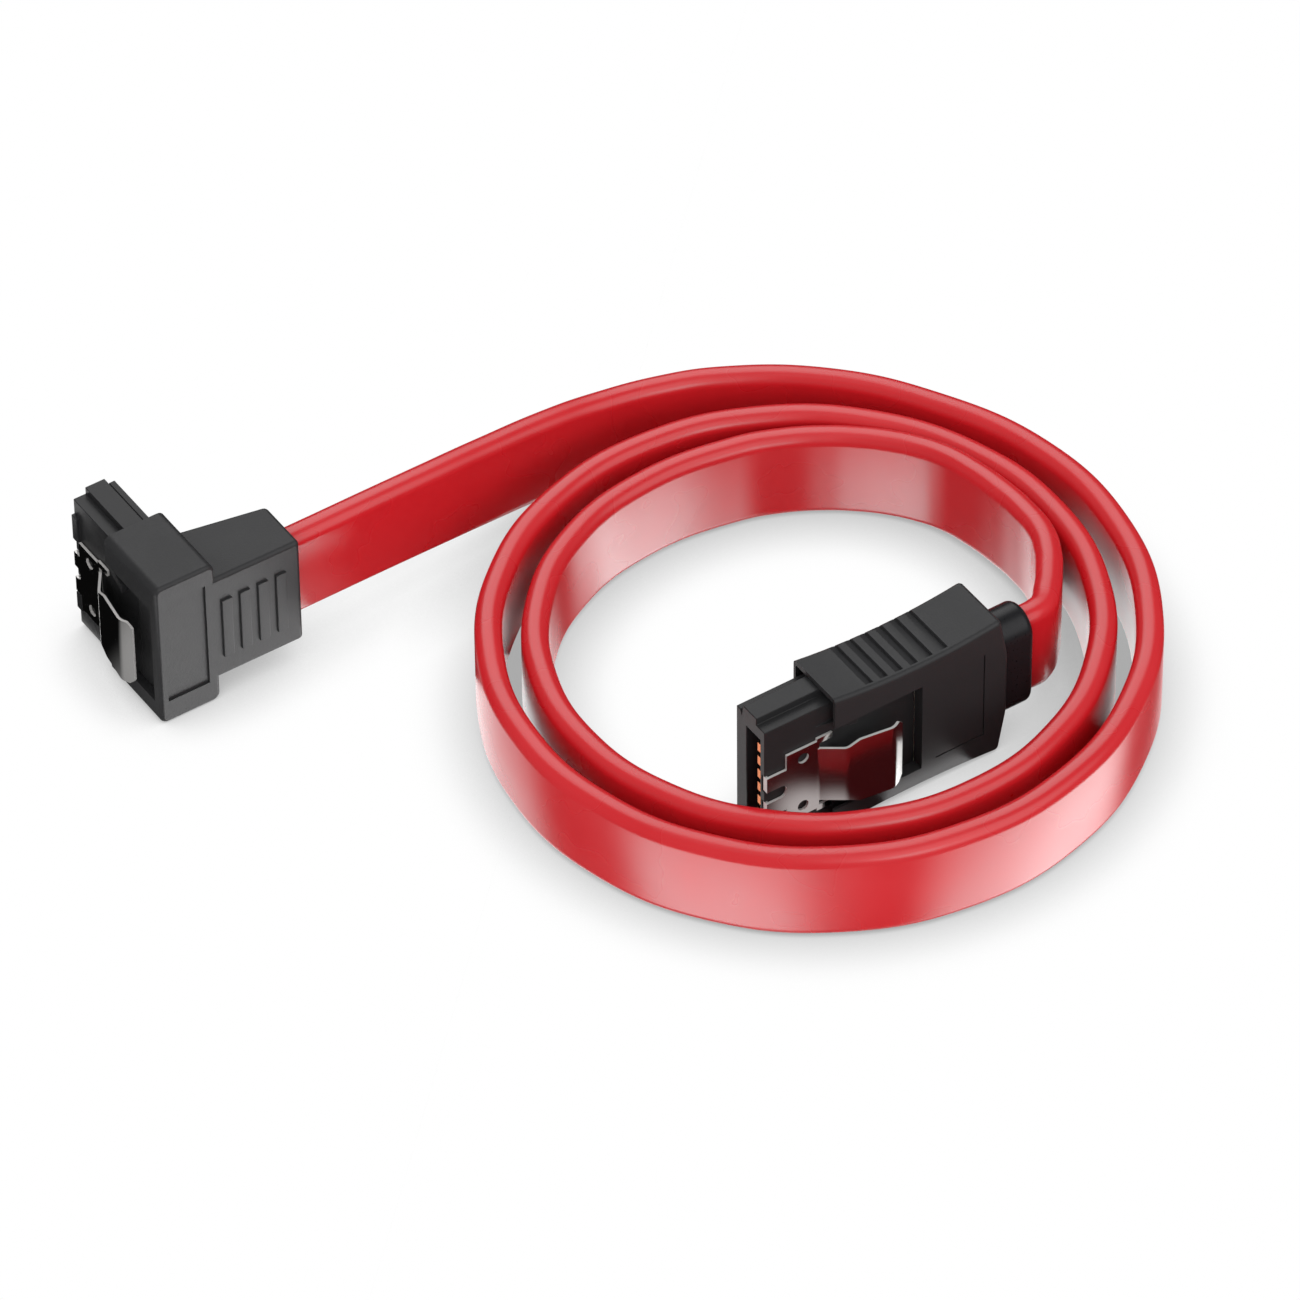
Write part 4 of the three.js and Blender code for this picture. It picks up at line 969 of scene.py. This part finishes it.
def soft_room(name, settings):
    """A world that lights evenly, looks white and shows a soft studio in gloss."""
    world = bpy.data.worlds.new(name)
    world.use_nodes = True
    world.cycles.sampling_method = "NONE"
    tree = world.node_tree
    tree.nodes.clear()
    output = add_node(tree, "ShaderNodeOutputWorld")
    rays = add_node(tree, "ShaderNodeLightPath")
    place = add_node(tree, "ShaderNodeTexCoord")
    apart = add_node(tree, "ShaderNodeSeparateXYZ", inputs={"Vector": place.outputs["Generated"]})
    level = add_node(tree, "ShaderNodeCombineXYZ", inputs={
        "X": apart.outputs["X"], "Y": apart.outputs["Y"]})
    heading = add_node(tree, "ShaderNodeVectorMath", {"operation": "NORMALIZE"}, {
        0: level.outputs["Vector"]})
    # Side panels, each with its bearing, half width and softness in degrees, and strength
    panels = ((-43, 28, 20, 1.0), (-156, 24, 20, 1.0), (80, 42, 16, 0.28))
    total = 0.0
    for bearing, half_width, soft, strength in panels:
        aim = math.radians(bearing)
        toward = add_node(tree, "ShaderNodeVectorMath", {"operation": "DOT_PRODUCT"}, {
            0: heading.outputs["Vector"], 1: (math.cos(aim), math.sin(aim), 0)})
        mask = add_node(tree, "ShaderNodeMapRange", SMOOTH, {
            "Value": toward.outputs["Value"],
            "From Min": math.cos(math.radians(half_width + soft)),
            "From Max": math.cos(math.radians(half_width - soft)),
            "To Min": 0.0, "To Max": strength * settings.panel})
        total = add_node(tree, "ShaderNodeMath", {"operation": "ADD"}, {
            0: total, 1: mask.outputs["Result"]}).outputs["Value"]
    # The camera looks down and gloss doesn't see the floor, so an upright face shows what lies
    # below it: the panels fill a band of those directions
    below = add_node(tree, "ShaderNodeMapRange", SMOOTH, {
        "Value": apart.outputs["Z"], "From Min": -0.45, "From Max": -0.66, "To Min": 0.0,
        "To Max": 1.0})
    above = add_node(tree, "ShaderNodeMapRange", SMOOTH, {
        "Value": apart.outputs["Z"], "From Min": -0.96, "From Max": -0.8, "To Min": 0.15,
        "To Max": 1.0})
    band = add_node(tree, "ShaderNodeMath", {"operation": "MULTIPLY"}, {
        0: above.outputs["Result"], 1: below.outputs["Result"]})
    sides = add_node(tree, "ShaderNodeMath", {"operation": "MULTIPLY"}, {
        0: total, 1: band.outputs["Value"]})
    # Two soft boxes above, each with its direction, outer and inner half width in degrees, and
    # strength: one behind the cable, and a weaker one in front that lights the rounded edges
    boxes = (((0.28, 0.68, 0.68), 30, 10, 2.87), ((0.25, -0.72, 0.65), 42, 20, 2.2))
    total = sides.outputs["Value"]
    for aim, outer, inner, strength in boxes:
        across = add_node(tree, "ShaderNodeVectorMath", {"operation": "DOT_PRODUCT"}, {
            0: place.outputs["Generated"], 1: Vector(aim).normalized()})
        mask = add_node(tree, "ShaderNodeMapRange", SMOOTH, {
            "Value": across.outputs["Value"], "From Min": math.cos(math.radians(outer)),
            "From Max": math.cos(math.radians(inner)), "To Min": 0.0, "To Max": strength})
        total = add_node(tree, "ShaderNodeMath", {"operation": "ADD"}, {
            0: total, 1: mask.outputs["Result"]}).outputs["Value"]
    base = 0.03
    gloss = add_node(tree, "ShaderNodeMath", {"operation": "ADD"}, {0: total, 1: base})
    shown = add_node(tree, "ShaderNodeMix", {"data_type": "FLOAT"}, {
        "Factor": rays.outputs["Is Glossy Ray"], "A": settings.dome, "B": gloss.outputs["Value"]})
    seen = add_node(tree, "ShaderNodeMix", {"data_type": "FLOAT"}, {
        "Factor": rays.outputs["Is Camera Ray"], "A": shown.outputs["Result"], "B": 1.0})
    room = add_node(tree, "ShaderNodeBackground", inputs={
        "Color": linear("#FFFFFF"), "Strength": seen.outputs["Result"]})
    tree.links.new(room.outputs["Background"], output.inputs["Surface"])
    return world


class CABLE_OT_studio(bpy.types.Operator):
    """Builds the white floor, the cards of painted reflection, the lights and the soft room that the gloss
    shows
    """

    bl_idname = "cable.studio"
    bl_label = "Studio"

    def execute(self, context):
        settings = context.scene.cable_studio
        ground = bmesh.new()
        bmesh.ops.create_grid(ground, x_segments=1, y_segments=1, size=3.0)
        floor = working_object("studio_floor", ground)
        floor.visible_glossy = False
        floor.data.materials.append(white_paper("White Paper Floor"))

        # Painted reflections, each dark with a light patch. In front of the straight plug: pale grey near
        # it and dark red towards the coil, for the shaded floor and red jacket in its latch face. Under the
        # lead-in: dark red that takes the highlight off its side, paler near the right-angled plug. Beside
        # the right-angled plug's latch: near black with a grey patch.
        add_painted_reflection("painted_reflection_plug",
                 [(4, -22.6), (4, -31.5), (27, -31.5), (31, -28), (31, -22.6), (21, -22.6),
                  (20, -24.6), (14, -24.6), (12, -22.6)],
                 dark="#3C1012", light="#C8C0C0", centre=(8.2, -24.6), reach=3.4)
        add_painted_reflection("painted_reflection_lead_in",
                 [(-10, 13.5), (-10, 4), (0, 4), (5, 9), (24, 9.5), (24, 14.5)],
                 dark="#5A1416", light="#E4DCDC", centre=(-11, 9), reach=7)
        add_painted_reflection("painted_reflection_latch", [(-24.4, 34), (-40, 34), (-40, 6), (-26.5, 6), (-24.4, 13)],
                 dark="#0C0C0C", light="#A8A8A8", centre=(-31, 12.5), reach=10)

        above = Matrix.Translation((0.02, 0.0, 0.7))
        top = add_lamp("Top Light", "AREA", settings.key, above)
        top.shape = "DISK"
        top.size = 0.5
        toward = Vector((-0.08, -0.88, 0.47)).to_track_quat("Z", "Y").to_matrix().to_4x4()
        front = add_lamp("Front Fill", "SUN", settings.fill, toward)
        front.angle = math.radians(25)
        front.specular_factor = 0
        context.scene.world = soft_room("Soft Room", settings)
        context.scene.view_settings.view_transform = "Standard"
        return {"FINISHED"}


class CABLE_PT_panel(bpy.types.Panel):
    """Lists the pieces and their sizes in the sidebar"""

    bl_idname = "CABLE_PT_panel"
    bl_label = "Flat Data Cable"
    bl_space_type = "VIEW_3D"
    bl_region_type = "UI"
    bl_category = "Cable"

    def draw(self, context):
        scene = context.scene
        for operator in OPERATORS:
            self.layout.operator(operator.bl_idname)
        for group in (scene.flat_cable, scene.plug_hoods, scene.plug_finishes, scene.cable_studio):
            box = self.layout.box()
            for name in type(group).__annotations__:
                box.prop(group, name)


OPERATORS = (
    CABLE_OT_camera, CABLE_OT_jacket, CABLE_OT_straight_hood, CABLE_OT_angled_hood,
    CABLE_OT_noses, CABLE_OT_latches, CABLE_OT_collar, CABLE_OT_inner_parts,
    CABLE_OT_declare_cord, CABLE_OT_studio,
)
GROUPS = {
    "flat_cable": CableSettings, "plug_hoods": HoodSettings, "plug_finishes": FinishSettings,
    "cable_studio": StudioSettings,
}


def register():
    for item in (*GROUPS.values(), *OPERATORS, CABLE_PT_panel):
        bpy.utils.register_class(item)
    for name, group in GROUPS.items():
        setattr(bpy.types.Scene, name, bpy.props.PointerProperty(type=group))


def unregister():
    for name in GROUPS:
        delattr(bpy.types.Scene, name)
    for item in reversed((*GROUPS.values(), *OPERATORS, CABLE_PT_panel)):
        bpy.utils.unregister_class(item)


def main():
    register()
    bpy.ops.cable.camera()
    bpy.ops.cable.jacket()
    bpy.ops.cable.straight_hood()
    bpy.ops.cable.angled_hood()
    bpy.ops.cable.noses()
    bpy.ops.cable.latches()
    bpy.ops.cable.collar()
    bpy.ops.cable.inner_parts()
    bpy.ops.cable.declare_cord()
    bpy.ops.cable.studio()


if __name__ == "__main__":
    main()
